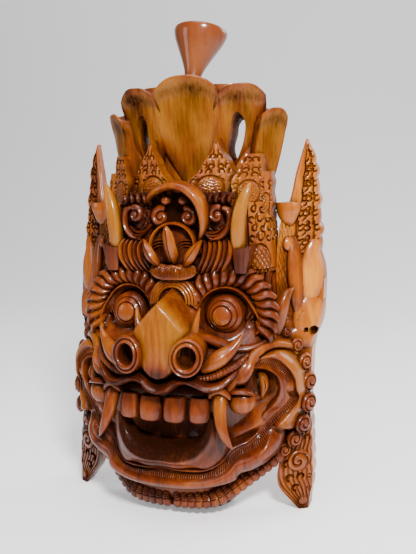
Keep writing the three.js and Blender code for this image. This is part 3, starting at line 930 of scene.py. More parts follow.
@dataclass
class Forehead:
    """Dark scroll panel with its hood, jewel, horns, comb crescent and the arch over the nose."""

    half: float = 60.0
    low: float = 250.0
    high: float = 326.0
    front: float = -61.0

    def panel(self) -> Surface:
        """Ground of the panel: a slab broken by many bent chisel cuts swirling round two centres.

        Returns:
            The closed skin.
        """
        x = np.linspace(-self.half, self.half, 176)[None, :]
        top = self.high + 1.2 * np.sin(np.linspace(-self.half, self.half, 176) / 2.3)
        z = self.low + np.linspace(0, 1, 112)[:, None] * (top - self.low)[None, :]
        rng = np.random.default_rng(3)
        count = 190
        mx, mz = rng.uniform(-58, 58, count), rng.uniform(self.low + 3, self.high - 2, count)
        swirl = np.degrees(np.arctan2(mz - 300, np.abs(mx) - 44)) * np.sign(mx) + 90
        marks = np.column_stack([mx, mz, swirl, rng.uniform(2.5, 5, count), rng.uniform(0.7, 1.1, count),
                                 rng.uniform(1.5, 3.2, count), rng.choice([-1.8, 1.8], count)])
        rolls = np.column_stack([rng.uniform(-58, 58, 60), rng.uniform(self.high - 16, self.high - 2, 60),
                                 rng.uniform(2.2, 3.2, 60), rng.uniform(0, 360, 60), rng.choice([-1, 1], 60),
                                 np.full(60, 0.7), np.full(60, 2.8)])
        hood = ease(31 - np.hypot(x, z - 304), 0, 3) * (z > 284)
        cut = np.maximum(gouges(x, z, marks), curls(x, z, rolls)) * (1 - hood) + 4.0 * hood
        v = self.front + 0.0016 * x * x + cut
        return slab(grid(x, v, z), grid(x, -34.0, z), 0.16, np.clip(0.42 + cut * 0.2, 0, 1))

    def scrolls(self) -> list[Surface]:
        """Volutes, beads and leaf strands that stand off the panel.

        Returns:
            The closed skins.
        """
        out: list[Surface] = []
        for side in Side:
            k = side.value
            for cx, cz, radius, turns, start, thick, v, hand in (
                    (14.5, 303, 9.0, 1.6, 118, 3.6, -66.5, -1.0), (44, 305, 7.6, 1.4, 60, 3.3, -64, 1.0)):
                out.append(sweep(spiral(cx, cz, radius, turns, start, thick, v, side, hand), 60, 12, 0.34,
                                 0.1, ends=0.03, power=1.5))
                out.append(revolve([(0.1, 3.4), (1.8, 3.0), (3.0, 1.6), (3.2, -1), (0.1, -3)],
                                   (cx * k, v, cz), (0, -1, 0), 14, 0.4, 0.05))
            tail = [[48 * k, -63, 312.5, 2.2, 3], [55 * k, -62, 309, 3.4, 4], [56.5 * k, -61.5, 296, 3.4, 4],
                    [49 * k, -62, 284, 2.8, 4], [36 * k, -64, 280, 1.4, 2]]
            out.append(sweep(tail, 40, 12, 0.34, 0.12, ends=0.06, power=1.5))
            for dx, dz, r in ((0, 0, 0), (3.2, -3.0, -0.4), (6.2, -6.2, -0.8)):
                rows = [[(24 + dx) * k, -64, 296 + dz, 1.5, 2.4],
                        [(33 + dx) * k, -64, 288 + dz, 1.7 + r * .2, 3.2],
                        [(44 + dx * 0.6) * k, -62, 288 + dz, 1.5, 2.6],
                        [(51 + dx * 0.3) * k, -61, 294 + dz, 0.8, 1.5]]
                out.append(sweep(rows, 26, 8, 0.3, 0.2, ends=0.08, power=1.5))
            for i in range(6):
                x = 29 + 5.2 * i
                rows = [[(x + 1) * k, -60, 281, 1.6, 2], [(x + 4) * k, -63.5, 274, 2.6, 4],
                        [(x + 3) * k, -65, 264, 2.9, 4.2], [(x - 3) * k, -62, 252, 2.2, 3],
                        [(x - 7) * k, -58, 246, 1, 2]]
                out.append(sweep(rows, 24, 10, 0.3 + 0.2 * (i % 2), 0.2, ends=0.1, power=1.5))
            out.append(revolve([(0.1, 5.2), (2.4, 4.7), (4.2, 3.1), (5.1, 0.6), (5.0, -2), (3.4, -5),
                                (0.1, -6)],
                               (9.3 * k, -67, 320), (0, -1, 0), 20, 0.4, 0.05))
        for i, x in enumerate(np.linspace(-56, 56, 17)):
            if abs(x) > 30:
                rows = [[x, -57, 316, 2.0, 3], [x, -61.5, 321, 2.4, 3],
                        [x + np.sign(x) * 2.5, -58, 325 + i % 3, 1.0, 2]]
                out.append(sweep(rows, 10, 8, 0.22, 0.45, ends=0.2))
        return out

    def hood(self) -> Surface:
        """Smooth crescent hood over the beads: it starts in a point on the left and is widest on the right.

        Returns:
            The closed skin.
        """
        rows = [[-30, -62, 317, 0.6, 2], [-25, -66, 324, 2.0, 8], [-14, -69, 331, 3.2, 13],
                [0, -70, 335, 4.0, 15], [14, -70, 332, 4.6, 15], [26, -69, 322, 5.2, 14],
                [32, -66, 306, 4.8, 12], [31, -63, 291, 3.2, 9], [26, -60, 279, 1.0, 6]]
        return sweep(rows, 100, 18, 0.5, 0.06, ends=0.04, power=3.0)

    def jewel(self) -> list[Surface]:
        """Round frame with three ridged pods on a dark dome, and three arcs to each side.

        Returns:
            The closed skins.
        """
        a = np.linspace(math.radians(-28), math.radians(208), 40)
        ring = np.column_stack([24 * np.cos(a), np.full(40, -69.0), 274 + 23 * np.sin(a), np.full(40, 1.7),
                                np.full(40, 4.5)])
        out = [sweep(ring, 70, 10, 0.46, 0.05, ends=0.03)]
        out.append(revolve([(0.1, 6), (8, 5.4), (16, 4.2), (22, 2.0), (24, -3), (20, -12), (0.1, -12)],
                           (0, -60, 273), (0, -1, 0), 48, 0.3, 0.42))
        pods = ([[-2, -84, 296, 1.5, 2], [-1, -82, 288, 5.2, 4.5], [0, -78, 277, 6.6, 6],
                 [1, -72, 266, 6.6, 6], [2, -64, 257, 2.5, 3]],
                [[31, -70, 281, 1, 1.5], [26, -74, 273, 4.5, 4.5], [20, -75, 264, 5.6, 5],
                 [14, -70, 256, 2.5, 3]],
                [[-31, -70, 281, 1, 1.5], [-26, -74, 273, 4.5, 4.5], [-20, -75, 264, 5.6, 5],
                 [-14, -70, 256, 2.5, 3]])
        for rows in pods:
            out.append(sweep(rows, 34, 16, 0.5, 0.0, ends=0.05, power=1.35))
            inner = np.array(rows, float)
            inner[:, 1] -= 0.6
            inner[:, 3:] *= (0.16, 1.06)
            out.append(sweep(inner, 30, 8, 0.2, 0.5, ends=0.1))
        for k in (-1, 1):
            for r in (12.5, 15.5, 18.5):
                b = np.linspace(math.radians(15), math.radians(150), 20)
                rows = np.column_stack([k * (14 + r * np.cos(b) * 0.9), np.full(20, -65.0),
                                        262 + r * np.sin(b), np.full(20, 0.9), np.full(20, 2.4)])
                out.append(sweep(rows, 30, 6, 0.4, 0.25, ends=0.08))
        return out

    def comb(self) -> Surface:
        """Crescent under the jewel, cut with upright comb lines about 1.5 mm apart.

        Returns:
            The closed skin.
        """
        s = np.linspace(-1, 1, 220)[None, :]
        t = np.linspace(0, 1, 16)[:, None]
        x = 25 * s + 0 * t
        lobes = 2.6 * np.abs(np.cos(1.5 * np.pi * s)) * (1 - s**4)
        z = (241 + 6 * s**4) + t * (1.5 + 15 * np.sqrt(np.clip(1 - s**4, 0, 1)) - 4 * (1 - s**2) + lobes)
        edge = ease(np.minimum(t, 1 - t), 0.06, 0.2) * ease(1 - np.abs(s), 0.0, 0.05)
        cut = 0.9 * edge * (0.5 + 0.5 * np.cos(2 * np.pi * x / 1.55))
        v = -70.5 + 0.008 * x * x - 2.5 * np.sin(np.pi * t) + cut
        return slab(grid(x, v, z), grid(x, -44.0, z), 0.5, np.clip(0.8 * cut, 0, 1))

    def arch(self) -> list[Surface]:
        """Saddle over the bridge of the nose: four nested folds round a domed, radially cut plate.

        Returns:
            The closed skins.
        """
        b = np.linspace(math.radians(-14), math.radians(194), 30)
        folds = []
        for k, q in enumerate((23.5, 20.6, 17.8, 15.2)):
            rows = np.column_stack([q * np.cos(b), np.full(30, -60.0 - k), 219 + q * np.sin(b),
                                    np.full(30, 2.5 - 0.2 * k), np.full(30, 5.0)])
            folds.append(sweep(rows, 70, 12, 0.5 + 0.04 * k, 0.12, ends=0.04, power=2.4))
        r, a = np.linspace(0, 1, 12)[:, None], np.linspace(0, np.pi, 60)[None, :]
        x, z = 22 * r * np.cos(a), 217 + 21 * r * np.sin(a)
        v = -62 - 3 * (1 - r * r) + 0.35 * np.cos(a * 34)
        front = grid(x, v, z)
        plate = slab(front, front + [0, 12, 0], 0.44, 0.2 + 0.1 * np.cos(a * 34) + 0 * r)
        return [*folds, plate]

    def horn(self, side: Side) -> list[Surface]:
        """Plain bent horn standing in a wedge-cut socket block.

        Args:
            side: Side of the mask.

        Returns:
            The closed skins.
        """
        rows = mirrored([(66, -52, 262, 6.4, 7), (65.5, -59, 278, 6.8, 7.6), (66.5, -64, 297, 6.8, 7.6),
                         (70, -66, 315, 6.0, 6.6), (74.5, -66, 328, 4.0, 4.4), (78, -65, 337, 1.1, 1.4)],
                         side)
        s = np.linspace(0, 1, 12)[:, None]
        c = np.linspace(-1, 1, 12)[None, :]
        z = 248 + 25 * s + 1.5 * c * s
        half = 5.5 + 4.0 * s
        x = (69.0 + c * half + 1.5 * s) * side.value
        front = grid(x, -60 - 5 * s - 2.2 * (1 - c * c), z)
        back = grid(x, -40.0, z)
        return [sweep(rows, 48, 20, np.linspace(0.8, 0.98, 48), 0.02, ends=0.03, power=2.9),
                slab(front, back, 0.34, 0.40)]

    def carve(self, wood: Carving) -> None:
        """Add every forehead part, the temple boards and the flame leaves."""
        wood.add(self.panel(), *self.scrolls(), self.hood(), *self.jewel(), self.comb(), *self.arch())
        for side in Side:
            wood.add(*self.horn(side), SidePanel().skin(side), *(leaf.skin(side) for leaf in LEAVES))


@dataclass
class Eyes:
    """Bulging ringed eyes in sloping lids, with thorns, a fan of brow locks and temple hair."""

    x: float = EYE_X
    z: float = EYE_Z
    rim: float = 27.0

    def socket(self, side: Side) -> Surface:
        """One polar skin: ringed dome, deep groove, lid sloping up to a crisp rim drawn out to a corner.

        Args:
            side: Side of the mask.

        Returns:
            The closed skin.
        """
        a = around(112)[None, :]
        r = np.concatenate([np.linspace(0.2, 18.8, 62), np.linspace(19.1, 20.4, 8), np.linspace(20.8, 27, 20),
                            np.linspace(27.4, 34, 12)])[:, None]
        dome = 19.5 * (1 - (r / 25) ** 2.4) + 0.8 * (r < 9.4)
        rings = sum(deep * bell(r, at, 0.55) for at, deep in ((9.8, 1.5), (14.6, 1.4), (11.0, -0.3)))
        lid = 0.5 + 7.0 * np.clip((r - 20.4) / 6.6, 0, None) ** 1.3
        groove = -2.8 * bell(r, 19.8, 0.9)
        fall = 7.5 - 14.0 * ease(r, 27.0, 33.0)
        h = np.where(r < 19.0, dome - rings, np.where(r < 27.0, lid + groove, fall))
        drawn = np.maximum(np.cos(a + 0.46), 0) ** 6
        grow = ease(r, 19.0, 27.0)
        reach = r * (1 + grow * (0.40 * drawn - 0.16 * np.maximum(-np.sin(a), 0) ** 2))
        x, z = reach * np.cos(a), reach * np.sin(a)
        slit = np.exp(-(((a + 0.25 + np.pi) % (2 * np.pi) - np.pi) / 0.22) ** 2) * bell(r, 23.5, 2.0)
        ground = 0.12 * grow * x + 0.08 * grow * np.abs(np.minimum(z, 0))
        v = -45.5 - h + 0.06 * x + ground + 6.0 * slit
        front = grid((self.x + x) * side.value, v, self.z + z)
        back = grid((self.x + x[-1] * 0.8) * side.value, -30.0, self.z + z[-1] * 0.8)
        # painted shade in the deep groove round the eyeball and in the corner slit; the ring cuts are darker
        # too
        stain_and_shade = np.clip(0.55 * rings / 1.3 + 0.9 * bell(r, 19.8, 1.1) + slit, 0, 1) + 0 * a
        tone = np.where(r < 9.6, 0.46, 0.36) + 0 * a
        last = np.full((1, 112), 0.3)
        return ring_skin(np.concatenate([front, back[None]]), np.concatenate([tone, last]),
                         np.concatenate([stain_and_shade, last]))

    def lid(self, side: Side) -> list[Surface]:
        """Crisp rim over the lid and the soft fold under the eye.

        Args:
            side: Side of the mask.

        Returns:
            The closed skins.
        """
        a = np.radians(np.linspace(205, -34, 24))
        reach = self.rim * (1 + 0.40 * np.maximum(np.cos(a + 0.46), 0) ** 6)
        x, z = self.x + reach * np.cos(a), self.z + reach * np.sin(a)
        v = -53.4 + 0.17 * (x - self.x)
        rim = np.column_stack([x * side.value, v, z, np.full(24, 1.5), np.full(24, 2.6)])
        flap = mirrored([(31, -80, 190, 2.2, 4), (42, -68, 184, 4.6, 6), (56, -61, 177, 5.4, 6),
                         (70, -56, 173, 5, 6), (86, -48, 176, 3.4, 5), (98, -38, 184, 1.5, 3)], side)
        return [sweep(rim, 70, 10, 0.46, 0.0, ends=0.04), sweep(flap, 50, 14, 0.36, 0.08, ends=0.05)]

    def thorn(self, side: Side) -> Surface:
        """Pointed blade that rises from the nose before each eye.

        Args:
            side: Side of the mask.

        Returns:
            The closed skin.
        """
        rows = mirrored([(23, -74, 178, 8, 7), (26, -79, 188, 7, 6), (29.5, -80, 199, 4.6, 4.6),
                         (34, -78, 216, 0.7, 0.9)],
                        side)
        return sweep(rows, 36, 16, 0.6, 0.03, power=1.4)

    def brow(self, side: Side, count: int = 16) -> list[Surface]:
        """Fan of fat locks over the eye: each is an S from the lid outward, leaning on, with two cut lines.

        Args:
            side: Side of the mask.
            count: Number of locks.

        Returns:
            The closed locks.
        """
        out: list[Surface] = []
        for i, share in enumerate(np.linspace(0, 1, count)):
            b = math.radians(176 - 200 * share)
            t = np.linspace(0, 1, 9)
            r = 28.0 + 23.0 * t - 4.0 * (1 - share) * t
            swing = b + 0.16 - 0.36 * t - 0.05 * np.sin(2 * np.pi * t)
            x = self.x + 1.5 + 2.5 * share + r * np.cos(swing)
            z = self.z + 1.0 + r * np.sin(swing)
            fat = np.clip(np.sin(np.pi * (0.10 + 0.82 * t)), 0, 1) ** 0.6
            wide = 4.5 + 0.4 * np.sin(np.pi * share)
            seat = np.minimum(front_v(x, z), -38 - 12 * (1 - share))
            v = seat - 3.5 - 5.0 * np.sin(np.pi * (0.08 + 0.84 * t))
            rows = np.column_stack([x * side.value, v, z, wide * fat, 6.4 * fat])
            out.append(sweep(rows, 30, 18, 0.34 + 0.05 * (i % 2), 0.02, ends=0.05, power=1.8,
                             relief=lambda s, c: -0.16 * bell(c, 1.2, 0.16)
                             - 0.14 * bell(c, 2.0, 0.14)))
        return out

    def temple(self, side: Side) -> list[Surface]:
        """Nested wavy locks between the brow and the wing.

        Args:
            side: Side of the mask.

        Returns:
            The closed skins.
        """
        out: list[Surface] = []
        for i in range(5):
            x = 74 + 4.4 * i
            rows = [(x + 2, 249 - 2 * abs(i - 2), 2.2, 3), (x + 1, 238, 2.6, 4),
                    (x + 4 - i * 0.4, 224, 2.6, 4.4),
                    (x + 3 - i * 0.3, 210, 2.4, 4), (x - 2, 200, 1.6, 2.6)]
            out.append(sweep(on_skin(rows, 1.5, side), 30, 10, 0.34, 0.1, ends=0.08))
        return out

    def carve(self, wood: Carving) -> None:
        """Add both eyes."""
        for side in Side:
            wood.add(self.socket(side), *self.lid(side), self.thorn(side), *self.brow(side),
                     *self.temple(side))


@dataclass
class Snout:
    """Kite-shaped nose, ringed nostril tubes and the leaves beside them."""

    kite: Pairs = ((0, 225), (9, 217), (18, 207), (26, 198), (26.5, 194), (23.5, 180), (19, 166), (14.5, 157),
                   (8, 151.5), (0, 149.5))

    def nose(self) -> list[Surface]:
        """Front is a polar grid inside the kite, bowed across; the sides run back to the face.

        Returns:
            The closed skins.
        """
        half = np.array(self.kite, float)
        dense = np.column_stack([np.interp(np.linspace(0, 1, 26), np.linspace(0, 1, len(half)), half[:, k])
                                 for k in (0, 1)])
        loop = np.concatenate([dense, dense[-2:0:-1] * [-1, 1]])
        mid = np.array([0.0, 188.0])
        rings = []
        sides = [(1.16, 54.0), (1.06, 38), (1.0, 16), (0.995, 6), (0.985, 3), (0.965, 1.3), (0.93, 0.4)]
        for scale, back in sides + [(f, 0.0) for f in np.linspace(0.88, 0.04, 16)]:
            p = mid + (loop - mid) * scale
            x, z = p[:, 0], p[:, 1] + 0.12 * back * ease(p[:, 1], 196, 214)
            ridge = 3.6 * (1 - np.sqrt((x / 24) ** 2 + 0.04)) + 1.5 * ease(z, 150, 185)
            v = -101.0 - 0.055 * (z - 175) - ridge + back
            rings.append(np.column_stack([x, v, z]))
        p = np.stack(rings)
        tip = ease(-p[..., 2], -172, -152)
        # painted shade: the sides and roof of the nose, running back to the face, are darker
        deep = ease(p[..., 1], -99, -88)
        grain = 0.5 + 0.5 * np.sin(p[..., 0] * 0.9 + 1.7 * np.sin(p[..., 2] / 16)
                                   + 0.4 * np.sin(p[..., 0] * 2.3))
        tone = (0.80 - 0.42 * tip - 0.14 * grain) * (1 - deep) + 0.46 * deep
        stain_and_shade = 0.12 + 0.22 * tip + 0.12 * grain**3 + 0.25 * deep
        return [ring_skin(p, tone, stain_and_shade)]

    def nostril(self, side: Side) -> Surface:
        """Round tube whose rim is turned with two ridges; the bore is darkened as painted shade.

        Args:
            side: Side of the mask.

        Returns:
            The closed skin.
        """
        profile = [(17.5, -46), (17.2, -30), (16.4, -14), (16.2, -5), (16.4, -2.4), (15.9, -0.6), (14.9, 0.0),
                   (14.0, -0.5), (13.6, -1.6), (13.1, -1.4), (12.6, 0.2), (11.6, 0.9), (10.4, 0.6),
                   (9.6, -0.6), (9.2, -3), (8.9, -9), (8.3, -13), (0.1, -14)]
        # painted shade fills the bore; the grooves of the rim are darker too
        stain_and_shade = np.array([0.3, 0.25, 0.15, 0.05, 0, 0, 0, 0.2, 0.6, 0.4, 0, 0, 0, 0.2, 0.8, 1, 1, 1])
        out = math.sin(math.radians(13)) * side.value
        return revolve(profile, (31.5 * side.value, -108, 174.5), (out, -1, -0.02), 52, 0.42, stain_and_shade, 1.13)

    def leaf(self, side: Side) -> list[Surface]:
        """Pillowed leaf that springs from the nostril and points up and out, with a toothed roll below.

        Args:
            side: Side of the mask.

        Returns:
            The closed skins.
        """
        rows = mirrored([(40, -86, 157, 3, 3), (48, -86, 164, 7, 6), (57, -82, 170, 8.2, 7),
                         (65, -76, 176, 6.4, 6), (72, -72, 184, 3.4, 4), (77, -70, 194, 0.8, 1)], side)
        roll = on_skin([(34, 149, 3, 4), (46, 151, 4.6, 6), (60, 156, 5, 6), (72, 163, 4.4, 6),
                        (80, 170, 2.4, 4)],
                       6, side)
        return [sweep(rows, 44, 18, 0.5, 0.03, ends=0.04, power=1.8),
                sweep(roll, 110, 14, 0.34, 0.12, ends=0.04, relief=lambda s, a: -0.13 * (
                    0.5 + 0.5 * np.cos(2 * np.pi * 17 * s)) * (np.sin(a) > 0.2))]

    def carve(self, wood: Carving) -> None:
        """Add the nose, both nostrils and their leaves."""
        wood.add(*self.nose())
        for side in Side:
            wood.add(self.nostril(side), *self.leaf(side))


@dataclass
class Mouth:
    """Wavy upper lip, block teeth, fangs, gums and the lofted lower jaw."""

    def upper_lip(self) -> list[Surface]:
        """Lip swept side to side: flat wedge with a thin front edge, dipping under the nose.

        Returns:
            The closed skins.
        """
        half = [(0, -91, 139.5, 5.2, 13), (9, -91.5, 142, 5, 13), (17, -91, 148, 4.6, 12),
                (26, -90, 150, 4.2, 12), (36, -88, 147, 4.2, 11), (47, -85.5, 142.5, 4.4, 11),
                (58, -82, 144, 4.2, 9), (66, -78, 150, 3.4, 7), (73, -72, 156, 2, 4)]
        rows = np.array([(-r[0], *r[1:]) for r in half[:0:-1]] + half, float)
        edge = rows.copy()
        edge[:, 1] -= rows[:, 4] * 0.72
        edge[:, 2] += 1.2
        edge[:, 3:] = (1.5, 2.0)
        return [sweep(rows, 120, 18, 0.2, 0.16, ends=0.03, power=1.7),
                sweep(edge, 120, 8, 0.3, 0.0, ends=0.02)]

    def tooth(self, x: float, v: float, z: float, half: float, turn: float) -> Surface:
        """Rounded block: superellipse sections, full above and drawn in at the biting edge.

        Args:
            x: Sideways middle.
            v: Depth of the middle.
            z: Height of the middle.
            half: Half width.
            turn: Degrees that it is turned outward.

        Returns:
            The closed tooth.
        """
        h = np.array([14, 10, 4, -2, -5.4, -8.0, -9.6, -10.6, -11.2])
        f = np.array([0.88, 0.95, 1.0, 1.0, 0.97, 0.9, 0.78, 0.56, 0.28])
        a = around(40)
        c, s = (signed_power(g, 0.72) for g in (np.cos(a), np.sin(a)))
        px, py = half * f[:, None] * c, 8.5 * f[:, None] * s
        t = math.radians(turn)
        p = grid(x + px * math.cos(t) - py * math.sin(t), v + px * math.sin(t) + py * math.cos(t),
                 (z + h)[:, None])
        # painted shadow: the upper part of each tooth, under the lip, is darkened
        return ring_skin(p, 0.30, 0.5 * ease(h, 0, 12)[:, None] * np.ones(40))

    def fang(self, side: Side) -> list[Surface]:
        """Long curved tusk from under the lip with a cuff of gum at its root.

        Args:
            side: Side of the mask.

        Returns:
            The closed skins.
        """
        rows = mirrored([(56, -72, 138, 6.6, 6), (57, -77, 128, 7.4, 6.8), (58.5, -80, 114, 6.4, 6.2),
                         (62, -82, 101, 5, 5), (67, -80, 90, 3, 3.2), (71, -77, 83, 0.8, 1)], side)
        cuff = mirrored([(47, -80, 131, 2, 3), (51, -83, 137, 3, 4), (57, -82, 139.5, 3.4, 4.4),
                         (63, -79, 136, 3, 4), (67, -75, 130, 2, 3)], side)
        return [sweep(rows, 40, 18, 0.44, 0.03, power=2.2), sweep(cuff, 30, 12, 0.36, 0.05, ends=0.08)]

    def gums(self) -> list[Surface]:
        """Scalloped gum bar behind the teeth and the rounded lobe outside each fang.

        Returns:
            The closed skins.
        """
        bar = [(-52, -66, 131, 6, 6), (-30, -74, 133, 7, 7), (0, -77, 134, 8, 7), (30, -74, 133, 7, 7),
               (52, -66, 131, 6, 6)]
        out = [sweep(bar, 40, 14, 0.2, 0.7, ends=0.05)]
        for side in Side:
            k = side.value
            r = np.linspace(0.1, 1, 14)
            profile = np.concatenate([np.column_stack([13.5 * r, 9.5 * np.sqrt(1 - r**2.6)]),
                                      [(13.2, -6), (0.1, -8)]])
            out.append(revolve(profile, (75.5 * k, -64, 125), (0.3 * k, -1, -0.1), 40, 0.52, 0.05, 0.9))
            top = mirrored([(62, -70, 135, 2, 3), (70, -74, 137, 2.6, 5), (80, -72, 137, 2.6, 5.4),
                            (88, -66, 134, 1.4, 3)], side)
            out.append(sweep(top, 26, 12, 0.36, 0.02, ends=0.08))
            strap = on_skin([(64, 136, 4, 4), (68, 146, 5.4, 5), (76, 158, 6.4, 6), (86, 168, 6, 6)], 1, side)
            out.append(sweep(strap, 30, 14, 0.42, 0.04, ends=0.05))
        return out

    def jaw(self) -> Surface:
        """Lower lip lofted from the bowl's floor over its rim and down to a step above the seam, with painted
        shade on the floor, under the roll and at the step.

        Returns:
            The closed skin.
        """
        guides = (
            ((0, -60, 82), (18, -60, 83), (32, -60, 88), (40, -60, 99), (43, -62, 114)),
            ((0, -78, 78), (18, -78, 79), (32, -77, 84), (41, -75, 96), (44, -74, 113)),
            ((0, -87, 71), (20, -86.5, 71.5), (36, -84, 78), (45, -80, 90), (49, -77, 110)),
            ((0, -87.5, 67.5), (20, -86.5, 67.5), (38, -83, 74), (48.5, -78.5, 87), (53, -75, 107)),
            ((0, -83.5, 64.5), (20, -83, 64), (39, -79.5, 68), (51, -74.5, 79), (57, -70, 98)),
            ((0, -81, 61), (18, -80, 60), (30, -77, 61), (43, -73, 60), (54, -64, 64), (64, -54, 78)),
            ((0, -74, 60), (18, -74, 59), (30, -71, 59), (43, -66, 59), (52, -58, 63), (61, -46, 78)))
        front = loft(guides, 220, 70)
        t = np.linspace(0, 6, 70)[:, None]
        # painted shade: darker on the bowl's floor, under the lip's roll and at the step; inside the mouth is
        # darker still
        lip_shade = sum(k * bell(t, at, w) for at, w, k in (
            (0, 1.2, 0.85), (4.0, 0.5, 0.35), (6, 0.7, 0.5)))
        front = front.transpose(1, 0, 2)
        inside = (1.0 - ease(t, 2.2, 3.2)).T
        return slab(front, front + [0, 14, 0], 0.27 - 0.12 * inside + np.zeros((220, 70)),
                    np.clip(lip_shade.T + 0.80 * inside, 0, 0.95) + np.zeros((220, 70)))

    def carve(self, wood: Carving) -> None:
        """Add the whole mouth.

        Args:
            wood: The carving that takes the skins.
        """
        wood.add(*self.upper_lip(), *self.gums(), self.jaw())
        for x, v, half, turn in ((12.6, -82, 11.8, 0.0), (36.5, -78, 10.8, 14.0)):
            for side in Side:
                wood.add(self.tooth(x * side.value, v, 116.5, half, turn * side.value))
        for side in Side:
            wood.add(*self.fang(side))


@dataclass
class Cheeks:
    """One carved skin from the chin's roll up round each cheek, its hatched seam, bands and inner tusks.

    Each section runs from the inner edge over the thin rim, the groove, both sides of the seam, the shoulder,
    the crest and the outer edge to a tucked-in end; they follow each other from the chin to the cheek's top.
    """

    sections: tuple[tuple[Triple, ...], ...] = (
        ((0, -80, 63), (0, -84.5, 61.5), (0, -80, 58.5), (0, -77.5, 55), (0, -79, 51),
         (0, -84, 47), (0, -84, 43.5), (0, -78, 39), (0, -64, 36.5)),
        ((20, -79, 62), (20, -84, 59.7), (21, -79.5, 57), (22, -77, 55.5), (22, -78.5, 51.5),
         (25, -83, 47.3), (27, -82.5, 44), (28, -77, 40), (28, -64, 37.5)),
        ((42, -75, 62.5), (43, -79.5, 60.5), (43, -75.5, 58), (43, -73, 56.8), (44, -75, 53.3),
         (47, -78.5, 49.5), (50, -77, 46), (52, -71, 42.5), (52, -60, 41)),
        ((55, -70, 68), (56, -74, 66.5), (57, -71, 65), (58, -69, 64), (60, -70.5, 59.5),
         (63, -74, 55.5), (66, -72, 50.5), (68, -65, 47), (68, -54, 46)),
        ((66, -66, 83), (67, -69.5, 80.5), (69, -67, 78.5), (71, -65.5, 77), (72, -66.5, 72.5),
         (73, -72, 68), (75, -71.5, 61.5), (75, -64, 55), (73, -52, 52)),
        ((77, -59, 89), (80, -63, 86), (81.5, -61, 84), (83, -60.5, 82.5), (84.5, -62, 78.5),
         (87, -69, 74), (89, -69, 67.5), (89, -60, 60), (87, -48, 56)),
        ((82.5, -56, 92), (86, -60.5, 90.5), (87.5, -58.5, 89.5), (89, -58, 88.5), (92.5, -59.5, 84.5),
         (97, -67, 79.5), (100, -65.5, 73.5), (101.5, -54, 67), (99, -42, 63)),
        ((86.5, -53, 97), (90.5, -57.5, 95.8), (92, -56, 94.5), (93.5, -55.5, 93.5), (97.5, -56.5, 90.5),
         (103, -61.5, 87.5), (108, -57.5, 82.5), (111, -46, 77.5), (109, -34, 73)),
        ((87.5, -52, 101), (91.5, -56.5, 100), (93.5, -55, 99), (95.5, -54, 97.5), (99.5, -52.5, 95),
         (104.5, -51.5, 93.5), (110, -47.5, 91), (114, -38, 88), (113, -27, 85)),
        ((88.5, -52, 106), (93, -56.5, 105.5), (95.5, -54.5, 104.5), (98.5, -53, 103), (102, -50, 100),
         (106, -49, 99.5), (110.5, -46, 97), (114, -38, 93.5), (113, -27, 90)),
        ((90, -51.5, 110), (94.5, -56.5, 110), (97.5, -54, 108), (101, -52, 106), (104.5, -50, 103),
         (110, -54, 100.5), (117, -48, 97), (121.5, -33, 93), (120, -20, 90)),
        ((95, -50, 115), (99, -55.5, 115.5), (102.5, -51.5, 114), (108, -47, 112), (111, -44.5, 108.5),
         (117, -47, 106), (123, -37, 105), (127, -18, 103.5), (127, -6, 103)),
        ((99, -47, 120), (104, -52.5, 120), (108.5, -47.5, 119.5), (115, -40, 118.5), (118.5, -36, 114.5),
         (122.5, -37, 113), (127, -27, 112.5), (129.5, -12, 112.5), (129.5, 0, 113)),
        ((103, -44.5, 126), (108, -49.5, 126), (112.5, -43.5, 125.5), (118.5, -36, 124), (123, -27.5, 122),
         (126, -28, 121), (129.5, -20, 120.5), (130.5, -9, 120), (130, 2, 120)),
        ((105, -43, 132), (110, -48.5, 132), (112.5, -43.5, 131), (115.5, -38.5, 130), (120, -33, 131.5),
         (125, -35, 131.5), (129, -25, 131.5), (130.5, -10, 131.5), (130, 1, 131.5)),
        ((104.5, -43, 139), (110, -48, 139.5), (112.5, -43, 138), (115.5, -38.5, 138), (118.5, -34.5, 141),
         (123.5, -37, 142), (127, -28, 143), (128, -12, 142), (127, 0, 141.5)),
        ((102.5, -44.5, 146), (107, -49.5, 147.5), (109.5, -44.5, 146.5), (111, -41.5, 146.5),
         (113.5, -38.5, 150.5), (119, -41.5, 152), (123, -32.5, 153.5), (123.5, -17, 151), (122, -5, 150)),
        ((97, -49, 152), (100, -55, 154.5), (102.5, -50.5, 154), (105, -46, 154.5), (106, -44.5, 158.5),
         (112, -47.5, 162), (116, -39.5, 163), (117.5, -26, 161), (116, -12, 159)),
        ((91, -52.5, 154), (93, -59, 157.2), (95, -54.5, 157.5), (97, -51.5, 158.5), (98, -50.5, 163),
         (104, -51.5, 167.5), (107, -44, 170.5), (110, -31, 168.5), (108, -18, 167)),
        ((85, -57, 155), (86, -62.5, 158), (87, -59, 159), (88, -57.5, 160), (88, -57, 163),
         (93, -54, 167), (97, -47, 170), (101, -38, 171), (99, -28, 170)))

    set_back: tuple[float, ...] = (5, 5, 7, 9, 14, 16, 17, 18, 17, 16, 14, 11, 8, 7, 4, 2, 0, 0, 0, 0)

    def net(self, along: Array, across: Array) -> Array:
        """Grid of places on the skin over both halves.

        Args:
            along: Places along the sections, from minus one (left end) over the chin to one (right end).
            across: Places in each section, 0 at its inner edge to 8 at its tucked end.

        Returns:
            Grid, (across, along, 3).
        """
        half = np.array(self.sections, float)
        back = np.array(self.set_back, float)[:, None]
        half = half + grid(-0.0026 * back * half[..., 0], back, -0.38 * back)
        rows = np.concatenate([half[:0:-1] * [-1, 1, 1], half])
        step = np.linalg.norm(np.diff(rows[:, 3], axis=0), axis=1)
        knots = np.concatenate([[0.0], np.cumsum(step)])
        knots = 2 * knots / knots[-1] - 1
        lines = hermite(rows, knots, along)
        return hermite(lines.transpose(1, 0, 2), np.arange(9.0), across)

